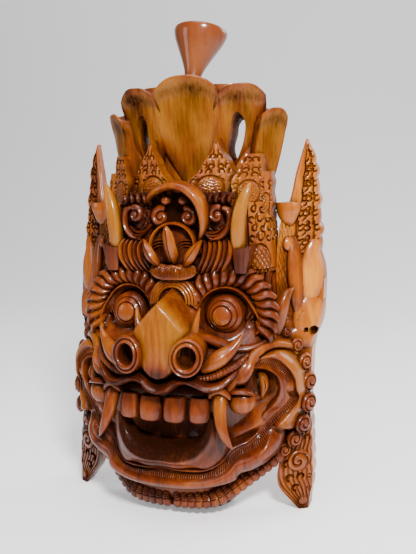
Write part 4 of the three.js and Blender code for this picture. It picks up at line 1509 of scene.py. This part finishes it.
    def skin(self) -> Surface:
        """The carved skin, with painted shade along the rim's foot, the seam's bed, the crease under the
        upper lobe and the outer edge, and lighter toward the top.

        Returns:
            The closed skin.
        """
        t, e = np.linspace(0, 8, 84), np.linspace(-1, 1, 560)
        front = self.net(e, t).transpose(1, 0, 2)
        depth = np.minimum(front[..., 1:2] + 14.0, 3.0)
        inward = front * [0.9, 0.0, 1.0] + [0.0, 0.0, 8.0] + [0.0, 1.0, 0.0] * depth
        # painted shade at the inner edge, the rim's groove, the seam's bed and the tucked outer edge
        stain_and_shade = sum(k * bell(t, at, w) for at, w, k in (
            (0, 0.8, 0.8), (2.1, 0.3, 0.4), (3.5, 0.5, 0.35), (4.4, 0.3, 0.25), (8, 1.5, 0.55)))
        # lighter toward the top: golden wood, partly a painted highlight on the lobe's top; the crease at
        # 95.5 mm is painted shade in the gap
        up = ease(front[..., 2], 70, 110)
        tone = 0.30 + (0.06 + 0.20 * up) * ease(t, 4.0, 5.6) + 0.08 * up
        crease = bell(front[..., 2], 95.5, 3.2) * ease(t, 4.2, 4.8)
        return slab(front, inward, tone, np.clip(stain_and_shade + 0.35 * crease, 0, 1))

    def seam(self) -> Surface:
        """Hatched ribbon in the seam's bed: short cuts across it, slanting a little, every 2.2 mm.

        Returns:
            The closed ribbon.
        """
        e, t = np.linspace(-0.992, 0.992, 2300), np.linspace(2.86, 4.3, 9)
        p = self.net(e, t).transpose(1, 0, 2)
        length = np.concatenate([[0], np.cumsum(np.linalg.norm(np.diff(p[:, 4], axis=0), axis=1))])
        phase = length[:, None] / 2.25 + np.linspace(0, 0.8, 9)[None, :] * np.sign(e)[:, None]
        fade = np.array([0.3, 0.8, 1, 1, 1, 1, 1, 0.8, 0.3])
        groove = (0.5 + 0.5 * np.cos(2 * np.pi * phase)) ** 1.6 * fade
        out = np.cross(np.gradient(p, axis=0), np.gradient(p, axis=1))
        out /= np.linalg.norm(out, axis=-1, keepdims=True)
        out *= np.where(out[..., 1:2] > 0, -1, 1)
        lift = 0.55 + 1.0 * np.sin(np.linspace(0, np.pi, 9))[None, :] - 1.9 * groove
        return slab(p + out * lift[..., None], p - out * 2.5, 0.42, np.clip(1.15 * groove - 0.1, 0, 0.95))

    def band(self, side: Side) -> list[Surface]:
        """Smooth strap from the lip's corner up and over the cheek's top.

        Args:
            side: Side of the mask.

        Returns:
            The closed skins.
        """
        rows = on_skin([(66, 147, 5, 4), (74, 150, 8, 6), (80, 157, 6.6, 7), (83, 166, 5.2, 7),
                        (89, 172, 4.8, 7), (98, 175.5, 4.4, 7), (107, 174, 4.2, 7), (114, 168.5, 3.8, 6),
                        (119, 160, 2, 4)], 1.2, side)
        return [sweep(rows, 80, 22, np.linspace(0.42, 0.62, 80), 0.03, ends=0.03, power=2.4)]

    def inner(self, side: Side) -> list[Surface]:
        """Crescent tusk inside the hole and its raised edge.

        Args:
            side: Side of the mask.

        Returns:
            The closed skins.
        """
        tusk = mirrored([(91, -44, 124, 1, 2), (92, -47, 130, 3, 4), (93.5, -49, 138, 4.6, 5),
                         (91.5, -49, 146, 4.8, 5), (87.5, -46, 152, 3, 3)], side)
        edge = mirrored([(93.5, -51, 131, 0.5, 1), (97, -52.5, 139, 0.9, 1.4), (94.5, -53, 146, 0.9, 1.4),
                         (90, -51, 151, 0.5, 1)], side)
        return [sweep(tusk, 34, 16, 0.5, 0.12, power=1.7), sweep(edge, 24, 8, 0.56, 0.0)]

    def carve(self, wood: Carving) -> None:
        """Add both cheeks."""
        wood.add(self.skin(), self.seam())
        for side in Side:
            wood.add(*self.band(side), *self.inner(side))


@dataclass
class JawBorder:
    """Snail curls up each side of the jaw and fluted scallops under the chin."""

    snails: tuple[tuple[float, float, float, float, float], ...] = (
        (108, -20, 184, 5.5, 34), (118, -17, 171, 7.5, 44), (126, -13, 154, 9.0, 54),
        (130, -10, 134, 10.2, 58), (130.5, -10, 113, 10.2, 58), (126, -14, 92, 9.4, 50),
        (117, -11, 75, 8.8, 44), (107, -12, 63, 7.6, 36))

    def curl(self, x: float, v: float, z: float, r: float, facing: float, side: Side) -> Surface:
        """Domed snail: h = 0.55 r sqrt(1.02 - q^2.2), cut by a groove where 2.1 q less the turn is whole.

        Args:
            x: Sideways centre.
            v: Depth of the centre.
            z: Height of the centre.
            r: Radius.
            facing: Degrees that it is turned outward.
            side: Side of the mask.

        Returns:
            The closed snail.
        """
        q = np.concatenate([[0.02], np.linspace(0.08, 1, 24)])[:, None]
        a = around(44)[None, :]
        phase = q * 2.1 - a / (2 * np.pi)
        groove = 0.5 + 0.5 * np.cos(2 * np.pi * phase)
        cut = groove**4 * ease(q, 0.12, 0.3) * ease(1.02 - q, 0.0, 0.12)
        h = r * 0.55 * np.sqrt(np.clip(1.02 - q**2.2, 0, 1)) - 0.22 * r * cut
        px, pz = r * q * np.cos(a), r * q * np.sin(a)
        c, n = math.cos(math.radians(facing)), math.sin(math.radians(facing))
        front = grid((x + px * c + h * n) * side.value, v + px * n - h * c, z + pz)
        back = grid((x + px[-1] * c * 0.7 - 7 * n) * side.value, v + px[-1] * n * 0.7 + 7 * c,
                    z + pz[-1] * 0.7)[None]
        stain_and_shade = np.concatenate([0.6 * cut, np.full((1, 44), 0.3)])
        return ring_skin(np.concatenate([front, back]), 0.42, stain_and_shade)

    def fringe(self, side: Side) -> list[Surface]:
        """Row of knuckles under the chin: each is a bent roll whose upper half is cut with nested lines.

        Args:
            side: Side of the mask.

        Returns:
            The closed skins.
        """
        path = flow([(4, -44, 16.5), (24, -43, 17), (44, -38, 19), (59, -30, 27), (73, -21, 37),
                     (86, -14, 47), (98, -10, 57)], 16)
        ahead = np.gradient(path, axis=0)
        ahead /= np.linalg.norm(ahead, axis=1)[:, None]
        out: list[Surface] = []
        for p, d in zip(path, ahead):
            out_x, out_z = d[2], -d[0]
            t = np.linspace(-1, 1, 7)
            bend = 2.6 * (1 - t * t)
            x = p[0] - out_x * t * -8.5 + d[0] * bend
            z = np.maximum(p[2] + 1.5 + out_z * t * 8.5 + d[2] * bend, 5.4)
            fat = np.array([0.55, 0.85, 1.0, 1.05, 1.1, 1.05, 0.7])
            v = p[1] - 3.5 * (1 - t * t) - 6 * (t < 0) * np.abs(t)
            rows = np.column_stack([x * side.value, v, z, 5.2 * fat, 6.5 * fat])
            out.append(sweep(rows, 64, 14, 0.36, np.repeat([0.35, 0.08], 32), ends=0.10, power=2.2,
                             relief=lambda s, a: -0.17 * (0.5 + 0.5 * np.cos(2 * np.pi * 11 * s)) ** 2
                             * ease(-s, -0.58, -0.5) * ease(s, 0.06, 0.12)))
        strip = np.array([(p[0] * side.value, p[1] + 9, max(p[2] + 1, 8.2), 8, 8) for p in path])
        out.append(sweep(strip, 60, 12, 0.3, 0.5, ends=0.05))
        return out

    def carve(self, wood: Carving) -> None:
        """Add the border on both sides."""
        for side in Side:
            wood.add(*(self.curl(*row, side) for row in self.snails), *self.fringe(side))


# ---- the separate pieces ----
@dataclass
class WingBoard:
    """Tall board behind each side of the head: flame above, folded ear, pointed leg below."""

    inner: Pairs = (
        (122, 0), (113, 11), (103, 25), (104, 63), (106, 110), (104, 150), (97, 187), (95, 225), (95, 264),
        (97, 292), (101, 305), (104, 312), (111, 346), (115, 362), (119, 378))
    outer: Pairs = (
        (131, 0), (133, 34), (131.5, 70), (130, 100), (130, 140), (132, 172), (138, 190), (139.5, 214),
        (138.5, 246), (133, 268), (134, 284), (131, 300), (132, 316), (129, 332), (129, 346), (125.5, 360),
        (120, 378))
    yaw: float = 30.0
    pivot: float = 126.0
    thick_low: float = 19.0
    thick_high: float = 9.0
    rows: int = 420
    columns: int = 76

    def edges(self, z: Array) -> tuple[Array, Array]:
        """Inner and outer x of the board at heights z; the outer edge is scalloped above the ear.

        Args:
            z: Heights.

        Returns:
            Inner and outer x at each height.
        """
        xi, xo = (flow(np.insert(np.array(e, float), 1, 0, axis=1), 400) for e in (self.inner, self.outer))
        xi, xo = np.interp(z, xi[:, 2], xi[:, 0]), np.interp(z, xo[:, 2], xo[:, 0])
        flame = ease(z, 258, 268) * ease(-z, -374, -366)
        leg = ease(-z, -100, -90) * ease(z, 8, 20)
        return xi, xo + (2.2 * flame + 1.4 * leg) * np.abs(np.sin(z / 4.9)) ** 0.6

    def relief(self, x: Array, z: Array, s: Array) -> tuple[Array, Array, Array]:
        """Depth of cut, tone and darkening over the board's face, with painted highlights and shade on the
        mounds.

        Args:
            x: Sideways places.
            z: Heights.
            s: Share of the way from the inner to the outer edge.

        Returns:
            Cut into the wood in millimetres, tone and darkening (staining and painted shade).
        """
        base = np.zeros_like(x)
        tone, stain_and_shade = base + 0.5, base + 0.05
        # flame: sunk ground with rows of comma cuts and leaning strokes
        marks, strokes = [], []
        for k, mz in enumerate(np.arange(248, 370, 7.4)):
            a, b = (np.interp(mz, *zip(*((r[1], r[0]) for r in e))) for e in (self.inner, self.outer))
            size = 4.4 - 2.2 * (mz - 248) / 122
            for share, hand in ((0.92, -1), (0.70, 1), (0.50, -1)):
                if (b - a) * 0.5 > 6 or share > 0.8:
                    marks.append([a + (b - a) * share, mz + 2.4 * (k % 2), size, 200 if hand > 0 else -10,
                                  hand, 0.85, 3.2])
                    strokes.append([a + (b - a) * share - 2, mz + 4, 70 - 16 * hand, size + 1.5, 0.8, 2.6,
                                    1.4 * hand])
        lines = np.maximum(curls(x, z, np.array(marks)), gouges(x, z, np.array(strokes)))
        flame = ease(z, 236, 252) * ease(s, 0.40, 0.45)
        horn = ease(z, 262, 276) * (1 - ease(s, 0.37, 0.41))
        cut = flame * (lines - 1.2) - horn * 2.4 * np.sin(np.pi * np.clip(s / 0.4, 0, 1)) ** 0.7
        cut += 2.2 * bell(s, 0.40, 0.02) * ease(z, 250, 262)
        tone += 0.24 * horn + 0.12 * flame
        stain_and_shade += np.clip(0.30 * lines * flame, 0, 0.8)
        # bark strip along the inner edge
        strip = ease(-s, -0.34, -0.30) * ease(z, 206, 214) * ease(-z, -300, -290)
        bark = 0.5 + 0.5 * np.sin(x * 2.9 + 1.6 * np.sin(z / 7)) * np.sin(z / 3.1 + x)
        cut += strip * 1.5 * bark
        tone += strip * 0.14
        stain_and_shade += strip * 0.45 * bark
        # mounds: ear lobes, horn root and knot; the tallest shows
        best = np.zeros_like(x)
        for cx, cz, rx, rz, turn, high, shade in (
            (128.5, 243, 11.5, 33, 3, 5.0, 0.96), (113.5, 238, 8.0, 42, -5, 7.5, 0.52),
            (127, 196, 16, 23, 0, 6.0, 0.82), (123, 177, 18, 12.5, 0, 5.5, 0.66),
            (106.5, 272, 6.5, 8, 0, 5.0, 0.7), (104, 187, 10, 14, 0, 3, 0.5)):
            c, n = math.cos(math.radians(turn)), math.sin(math.radians(turn))
            dx, dz = (x - cx) * c - (z - cz) * n, (x - cx) * n + (z - cz) * c
            q = np.hypot(dx / rx, dz / rz)
            h = high * np.sqrt(np.clip(1 - q**2.4, 0, 1))
            wins = h > best
            seam = bell(q, 1, 0.05)
            # painted shading: each mound's tone falls from its middle to its rim, the big outer ear lobe's
            # high tone is a painted highlight, and a painted shade line rings each mound's foot
            tone = np.where(wins, shade + 0.06 - 0.34 * np.clip(q, 0, 1) ** 2, tone)
            stain_and_shade = np.where(wins, 0.0, np.maximum(stain_and_shade, 0.3 * seam * (best < 0.3)))
            best = np.maximum(best, h)
        comb = 0.5 + 0.5 * np.cos(np.arctan2(z - 203, x - 112) * 60)
        hair = comb * bell(np.hypot(x - 112, z - 203), 9, 4)
        holes = sum(deep * ease(r - np.hypot(x - hx, (z - hz) * 0.85), 0.0, 1.0)
                    for hx, hz, r, deep in ((132, 183, 4.2, 9.0), (125, 184, 2.4, 6.0)))
        raised = np.minimum(-best, -1.2 * ease(best, 0, 2))
        cut = np.where(best > 0.05, raised, cut) + 0.5 * hair + holes
        # the deep holes are darkened as painted shade
        stain_and_shade = stain_and_shade + 0.3 * hair + 0.25 * holes
        # leg: a volute with a bead, strokes that follow the inner edge, a small boss at the tip
        low = 1 - ease(z, 104, 116)
        u = np.clip(s, 0, 1) * 26 + 0.05 * (z - 40)
        sweep_lines = (0.5 + 0.5 * np.cos(2 * np.pi * (u + 6 * np.sin(z / 26)) / 3.4)) ** 2
        r = np.hypot(x - 121, (z - 50) * 0.9)
        turn = np.arctan2(z - 50, x - 121) / (2 * np.pi)
        boss = ease(10.5 - r, 0.0, 1.0)
        snail = (0.5 + 0.5 * np.cos(2 * np.pi * (r / 6.2 + turn - 0.35))) ** 4
        tip = ease(4.4 - np.hypot(x - 126, z - 9), 0, 1.0)
        upper = np.array([[118, 82, 5, 200, -1, 0.9, 3], [127, 72, 4, -20, 1, 0.9, 3],
                          [129, 90, 4.5, 160, -1, 0.9, 3], [131, 34, 3.2, 200, 1, 0.8, 2.4],
                          [131, 20, 2.6, 160, -1, 0.8, 2.2], [110, 64, 5, 30, 1, 1.0, 4],
                          [109, 46, 5, 10, 1, 1.0, 4], [112, 31, 5, 20, 1, 1.0, 4],
                          [118, 21, 4.4, 40, 1, 1.0, 4], [123, 33, 4.0, 200, -1, 0.9, 4],
                          [110, 84, 4.4, 20, 1, 1.0, 4], [112, 98, 4.4, 10, 1, 1.0, 4]])
        more = curls(x, z, upper)
        leg = (1 - boss) * (1 - tip) * np.maximum(1.5 * sweep_lines * (more < 0.2), more) + boss * (
            2.6 * snail - 4.2 * np.sqrt(np.clip(1 - (r / 11) ** 2, 0, 1))) - tip * 2.4
        rim = ease(np.minimum(s, 1 - s), 0.02, 0.08)
        return cut * (1 - low) + low * leg * rim, tone * (1 - low) + 0.36 * low, np.clip(
            stain_and_shade * (1 - low) + low * (0.08 + 0.5 * ((1 - boss) * np.maximum(sweep_lines, more / 3)
                                                     + boss * snail)), 0, 1)

    def hook(self, side: Side) -> list[Surface]:
        """Glossy bent leaf at the ear's inner edge and the half-round block above it.

        Args:
            side: Side of the mask.

        Returns:
            The closed skins.
        """
        rows = mirrored([(96, -24, 176, 4, 3), (98, -25, 188, 7, 6), (101, -26, 202, 8.4, 8),
                         (104, -26, 214, 7.6, 8), (108, -23, 223, 5, 6), (113, -17, 228, 1.6, 2)], side)
        block = mirrored([(105, -15, 315, 13, 6), (105, -15, 310, 13, 6.4), (105, -14, 303, 11.4, 6),
                          (106, -13, 296, 7.6, 5), (107, -11, 291, 3, 3)], side)
        return [sweep(rows, 44, 20, 0.30, 0.04, power=1.7),
                sweep(block, 24, 20, 0.62, 0.1, ends=0.03, power=2.6)]

    def build(self, side: Side) -> Piece:
        """Make one board, cut clear of the head.

        Args:
            side: Side of the mask.

        Returns:
            The finished piece.
        """
        z = np.linspace(0, 378, self.rows)[:, None]
        s = np.linspace(0, 1, self.columns)[None, :]
        xi, xo = self.edges(z)
        x = xi + (xo - xi) * s
        cut = self.relief(x, z + 0 * x, s + 0 * x)[0]
        edge = ease(np.minimum(s, 1 - s) * (xo - xi), 0.0, 2.0)
        cut = cut * edge + 0.8 * (1 - edge)
        t = math.tan(math.radians(self.yaw))
        thick = self.thick_low + (self.thick_high - self.thick_low) * ease(z, 240, 378)
        front = grid(x * side.value, (x - self.pivot) * t + cut, z)
        tools = 0.35 * np.sin(z / 4.3) * np.sin(x / 3.1 + z / 11)
        back = grid(x * side.value, (x - self.pivot) * t + thick + tools, z)
        board, head = slab(front, back), HeadShell().block()
        board.points = place(board.points)
        head.points[:, 0] *= 1.004
        skin = cut_away(board, [head])
        x, v, z = np.abs(skin.points[:, 0]), skin.points[:, 1], skin.points[:, 2]
        xi, xo = self.edges(z)
        _, tone, stain_and_shade = self.relief(x, z, np.clip((x - xi) / (xo - xi + 1e-6), 0, 1))
        behind = ease(v - (x - self.pivot) * t, 4, 8)
        skin.tone, skin.stain_and_shade = tone * (1 - behind) + 0.5 * behind, stain_and_shade * (1 - behind) + 0.1 * behind
        # painted shade: the left board's tone is cut to 0.74 of the right's, as the light falls from the
        # right
        skin.tone = skin.tone * (1.0 if side is Side.RIGHT else 0.74)
        return Carving(f"wing_{side.name.lower()}_board", [skin, *self.hook(side)]).mesh_object()


@dataclass
class Finial:
    """Turned trumpet that stands on the crown, leaning back and a little aside."""

    centre: Triple = (0.0, -27.5, 436.0)
    axis: Triple = (0.07, 0.27, 1.0)
    profile: Pairs = (
        (0.1, -5), (7.9, -5), (7.9, 0), (8.1, 6), (9.8, 14), (15.2, 27), (21.8, 40), (26.8, 50.5),
        (28.6, 58.2), (28.5, 59.4), (27.3, 60.3), (25.3, 59.2), (21.5, 56), (10.5, 52), (0.1, 51))

    def build(self) -> Piece:
        """Turn the trumpet and seat it flat on the crown.

        Returns:
            The finished piece.
        """
        rows = np.array([(r, 0, h) for r, h in self.profile], float)
        dense = flow(rows, 110)[:, [0, 2]]
        skin = revolve(dense, self.centre, self.axis, 64, 0.6, 0.0)
        skin.points[:, 2] = np.maximum(skin.points[:, 2], CROWN_TOP + 0.3)
        return Carving("finial_turned", [skin]).mesh_object(sharp=50.0)


# ---- finishes ----
@dataclass(frozen=True)
class WoodFinish:
    """Oiled carved wood: a tone ramp, grain, a dark colour for the waxed cuts and for painted shade in the
    hollows, and a soft polish.
    """

    name: str
    ramp: tuple[tuple[float, Triple], ...]
    # colour of the waxed cuts, also laid on as painted shade in hollows
    wax_and_shade: Triple = (0.012, 0.0035, 0.0015)
    roughness: float = 0.42
    coat: float = 0.42
    grain: float = 1.0
    # strength of the painted shade that the occlusion node lays in crevices
    shade: float = 0.85

    def material(self) -> bpy.types.Material:
        """Build the node material.

        Returns:
            The material.
        """
        mat = bpy.data.materials.new(self.name)
        mat.use_nodes = True
        nodes, links = mat.node_tree.nodes, mat.node_tree.links
        shader = nodes["Principled BSDF"]

        def new(kind: str, **inputs: object) -> bpy.types.Node:
            """Add a node and set its inputs by name.

            Args:
                kind: Kind of node.
                inputs: Values by input name.

            Returns:
                The node.
            """
            node = nodes.new(kind)
            for key, value in inputs.items():
                node.inputs[key.replace("_", " ")].default_value = value
            return node

        def math_node(operation: str, *values: object, clamp: bool = False) -> bpy.types.NodeSocket:
            """Add a Math node on sockets or numbers and give its output.

            Args:
                operation: What it does.
                values: Sockets or numbers.
                clamp: True to keep the result from 0 to 1.

            Returns:
                Its output.
            """
            node = nodes.new("ShaderNodeMath")
            node.operation, node.use_clamp = operation, clamp
            for k, value in enumerate(values):
                if isinstance(value, bpy.types.NodeSocket):
                    links.new(value, node.inputs[k])
                else:
                    node.inputs[k].default_value = value
            return node.outputs[0]

        where = nodes.new("ShaderNodeTexCoord").outputs["Object"]
        stretch = nodes.new("ShaderNodeMapping")
        stretch.inputs["Scale"].default_value = (1.0, 1.0, 0.12)
        links.new(where, stretch.inputs["Vector"])
        cloud = new("ShaderNodeTexNoise", Scale=17.0, Detail=3.0)
        fibre = new("ShaderNodeTexNoise", Scale=420.0, Detail=3.0, Roughness=0.65)
        rings = new("ShaderNodeTexNoise", Scale=75.0, Detail=4.0, Distortion=0.8)
        links.new(where, cloud.inputs["Vector"])
        links.new(stretch.outputs[0], fibre.inputs["Vector"])
        links.new(stretch.outputs[0], rings.inputs["Vector"])
        tone, stain_and_shade = nodes.new("ShaderNodeAttribute"), nodes.new("ShaderNodeAttribute")
        tone.attribute_name, stain_and_shade.attribute_name = "tone", "stain_and_shade"
        drift = math_node("MULTIPLY_ADD", cloud.outputs["Fac"], 0.60, -0.30)
        streak = math_node("MULTIPLY_ADD", rings.outputs["Fac"], 0.70 * self.grain, -0.35 * self.grain)
        level = math_node("ADD", math_node("ADD", tone.outputs["Fac"], drift), streak, clamp=True)
        ramp = nodes.new("ShaderNodeValToRGB")
        band = ramp.color_ramp
        band.elements[0].position, band.elements[1].position = self.ramp[0][0], self.ramp[-1][0]
        for at, _ in self.ramp[1:-1]:
            band.elements.new(at)
        for stop, (_, colour) in zip(band.elements, self.ramp):
            stop.color = (*colour, 1.0)
        links.new(level, ramp.inputs["Fac"])
        # painted shade: the occlusion node darkens the wood where other wood is near, in crevices, cuts and
        # between parts, along with the dark waxed cuts
        hollow = new("ShaderNodeAmbientOcclusion", Distance=0.014)
        hollow.samples = 8
        open_air = math_node("POWER", hollow.outputs["AO"], 2.2)
        crevice_wax_and_shade = math_node("MULTIPLY", math_node("SUBTRACT", 1.0, open_air, clamp=True), self.shade, clamp=True)
        dark = math_node("MAXIMUM", crevice_wax_and_shade, math_node("MULTIPLY", stain_and_shade.outputs["Fac"], 0.9, clamp=True),
                         clamp=True)
        hairs = math_node("MULTIPLY_ADD", fibre.outputs["Fac"], -0.90 * self.grain, 0.47 * self.grain)
        dark = math_node("ADD", dark, hairs, clamp=True)
        mix = nodes.new("ShaderNodeMix")
        mix.data_type = "RGBA"
        links.new(dark, mix.inputs["Factor"])
        links.new(ramp.outputs["Color"], mix.inputs[6])
        mix.inputs[7].default_value = (*self.wax_and_shade, 1.0)
        links.new(mix.outputs[2], shader.inputs["Base Color"])
        rough = math_node("MULTIPLY_ADD", cloud.outputs["Fac"], 0.22, self.roughness - 0.11)
        links.new(rough, shader.inputs["Roughness"])
        open_wood = math_node("SUBTRACT", 1.0, dark, clamp=True)
        links.new(math_node("MULTIPLY", open_wood, 0.16), shader.inputs["Specular IOR Level"])
        links.new(math_node("MULTIPLY", math_node("POWER", open_wood, 1.5), self.coat),
                  shader.inputs["Coat Weight"])
        shader.inputs["Coat Roughness"].default_value = 0.09
        bump = new("ShaderNodeBump", Strength=0.16, Distance=0.0006)
        links.new(fibre.outputs["Fac"], bump.inputs["Height"])
        links.new(bump.outputs["Normal"], shader.inputs["Normal"])
        return mat


CARVED = WoodFinish("carved_wood", (
    (0.0, (0.012, 0.0020, 0.0005)), (0.2, (0.052, 0.0068, 0.0006)), (0.4, (0.135, 0.0205, 0.0008)),
    (0.62, (0.235, 0.0560, 0.0012)), (0.8, (0.250, 0.0800, 0.0020)), (1.0, (0.250, 0.0880, 0.0024))))
EAR = WoodFinish("ear_wood", (
    (0.0, (0.04, 0.008, 0.001)), (0.4, (0.18, 0.036, 0.002)), (0.7, (0.31, 0.078, 0.003)),
    (1.0, (0.50, 0.178, 0.018))), roughness=0.34, coat=0.6)
TURNED = WoodFinish("turned_wood", ((0.0, (0.04, 0.006, 0.001)), (0.4, (0.11, 0.018, 0.002)),
                                    (1.0, (0.25, 0.080, 0.026))), roughness=0.26, coat=0.5, grain=0.7,
                                    shade=0.5)


@dataclass
class Studio:
    """Pale floor and wall, soft lights and the camera."""

    place_at: Triple = (0.2859, -0.7491, 0.3661)
    azimuth: float = 18.97
    pitch: float = 9.04
    roll: float = -1.36
    lens: float = 50.8

    def floor(self) -> Piece:
        """A floor that bends up into a back wall far behind the mask.

        Returns:
            The floor.
        """
        t = np.linspace(0, 1, 40)
        y = np.concatenate([[-3.0], 1.0 + 1.2 * np.sin(np.pi / 2 * t), [2.2]])
        z = np.concatenate([[0.0], 1.2 * (1 - np.cos(np.pi / 2 * t)), [4.0]])
        x = np.array([-4.0, 4.0])
        points = np.array([(a, b, c) for b, c in zip(y, z) for a in x])
        k = np.arange(len(y) - 1) * 2
        mesh = bpy.data.meshes.new("floor")
        mesh.from_pydata(points.tolist(), [], np.column_stack([k, k + 1, k + 3, k + 2]).tolist())
        mesh.polygons.foreach_set("use_smooth", np.ones(len(mesh.polygons), bool))
        piece = bpy.data.objects.new("floor", mesh)
        bpy.context.scene.collection.objects.link(piece)
        mat = bpy.data.materials.new("floor")
        mat.use_nodes = True
        inputs = mat.node_tree.nodes["Principled BSDF"].inputs
        for key, value in (("Base Color", (0.86, 0.86, 0.88, 1)), ("Roughness", 0.6),
                           ("Emission Color", (0.97, 0.98, 1.0, 1)), ("Emission Strength", 0.30)):
            inputs[key].default_value = value
        mesh.materials.append(mat)
        return piece

    def lamp(self, name: str, spot: Triple, size: float, power: float,
             colour: Triple) -> None:
        """Add one square soft light aimed at the mask's middle.

        Args:
            name: Name of the light.
            spot: Its place.
            size: Side of the square.
            power: Watts.
            colour: Colour of the light.
        """
        data = bpy.data.lights.new(name, "AREA")
        data.size, data.energy, data.color = size, power, colour
        lamp = bpy.data.objects.new(name, data)
        back = np.array(spot) - np.array([0.0, 0.0, 0.24])
        back /= np.linalg.norm(back)
        right = np.cross([0.0, 0.0, 1.0], back)
        right /= np.linalg.norm(right)
        pose = np.eye(4)
        pose[:3, 0], pose[:3, 1], pose[:3, 2], pose[:3, 3] = right, np.cross(back, right), back, spot
        lamp.matrix_world = Matrix(pose.tolist())
        bpy.context.scene.collection.objects.link(lamp)

    def camera(self) -> None:
        """Place the camera from its azimuth, pitch and roll."""
        a, e, r = (math.radians(v) for v in (self.azimuth, self.pitch, self.roll))
        back = np.array([math.sin(a) * math.cos(e), -math.cos(a) * math.cos(e), math.sin(e)])
        right0 = np.array([math.cos(a), math.sin(a), 0.0])
        up0 = np.cross(back, right0)
        pose = np.eye(4)
        pose[:3, 0] = math.cos(r) * right0 + math.sin(r) * up0
        pose[:3, 1] = -math.sin(r) * right0 + math.cos(r) * up0
        pose[:3, 2], pose[:3, 3] = back, self.place_at
        data = bpy.data.cameras.new("camera")
        data.lens, data.sensor_width, data.sensor_fit = self.lens, 36.0, "AUTO"
        data.clip_start, data.clip_end = 0.01, 50.0
        eye = bpy.data.objects.new("camera", data)
        eye.matrix_world = Matrix(pose.tolist())
        bpy.context.scene.collection.objects.link(eye)
        bpy.context.scene.camera = eye

    def build(self) -> None:
        """Make the whole studio."""
        self.floor()
        self.lamp("key", (0.62, -0.95, 1.15), 0.26, 54.0, (1.0, 0.97, 0.93))
        self.lamp("fill", (-1.3, -0.9, 0.75), 0.6, 5.0, (0.93, 0.96, 1.0))
        self.lamp("top", (0.1, -0.2, 1.6), 0.8, 14.0, (1.0, 0.98, 0.95))
        self.lamp("rim", (0.9, 0.9, 0.9), 0.8, 12.0, (1.0, 0.98, 0.95))
        world = bpy.data.worlds.new("world")
        world.use_nodes = True
        world.node_tree.nodes["Background"].inputs["Color"].default_value = (0.66, 0.65, 0.62, 1)
        world.node_tree.nodes["Background"].inputs["Strength"].default_value = 0.32
        bpy.context.scene.world = world
        self.camera()


@dataclass
class Mask:
    """The whole mask: the head's carving by region, two boards and the finial."""

    def finish(self, piece: Piece, node: str, material: bpy.types.Material) -> None:
        """Give a piece its material and its place in the frame.

        Args:
            piece: The piece.
            node: Frame part it stands for.
            material: Its finish.
        """
        piece.data.materials.append(material)
        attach(piece, "root")
        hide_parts(node)
        piece.data.calc_loop_triangles()
        log.info("%s: %d points, %d triangles", piece.name, len(piece.data.vertices),
                 len(piece.data.loop_triangles))

    def build(self) -> None:
        """Carve everything."""
        carved = CARVED.material()
        for part in (HeadShell(), Crown(), Forehead(), Eyes(), Snout(), Mouth(), Cheeks(), JawBorder()):
            wood = Carving(f"head_{type(part).__name__.lower()}")
            part.carve(wood)
            self.finish(wood.mesh_object(), "head", carved)
        ears = EAR.material()
        for side in Side:
            self.finish(WingBoard().build(side), f"wing_{side.name.lower()}", ears)
        self.finish(Finial().build(), "finial", TURNED.material())


def main() -> None:
    """Build the scene."""
    logging.basicConfig(level=logging.INFO, format="%(name)s: %(message)s", stream=sys.stdout)
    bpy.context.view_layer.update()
    Mask().build()
    Studio().build()


if __name__ == "__main__":
    main()
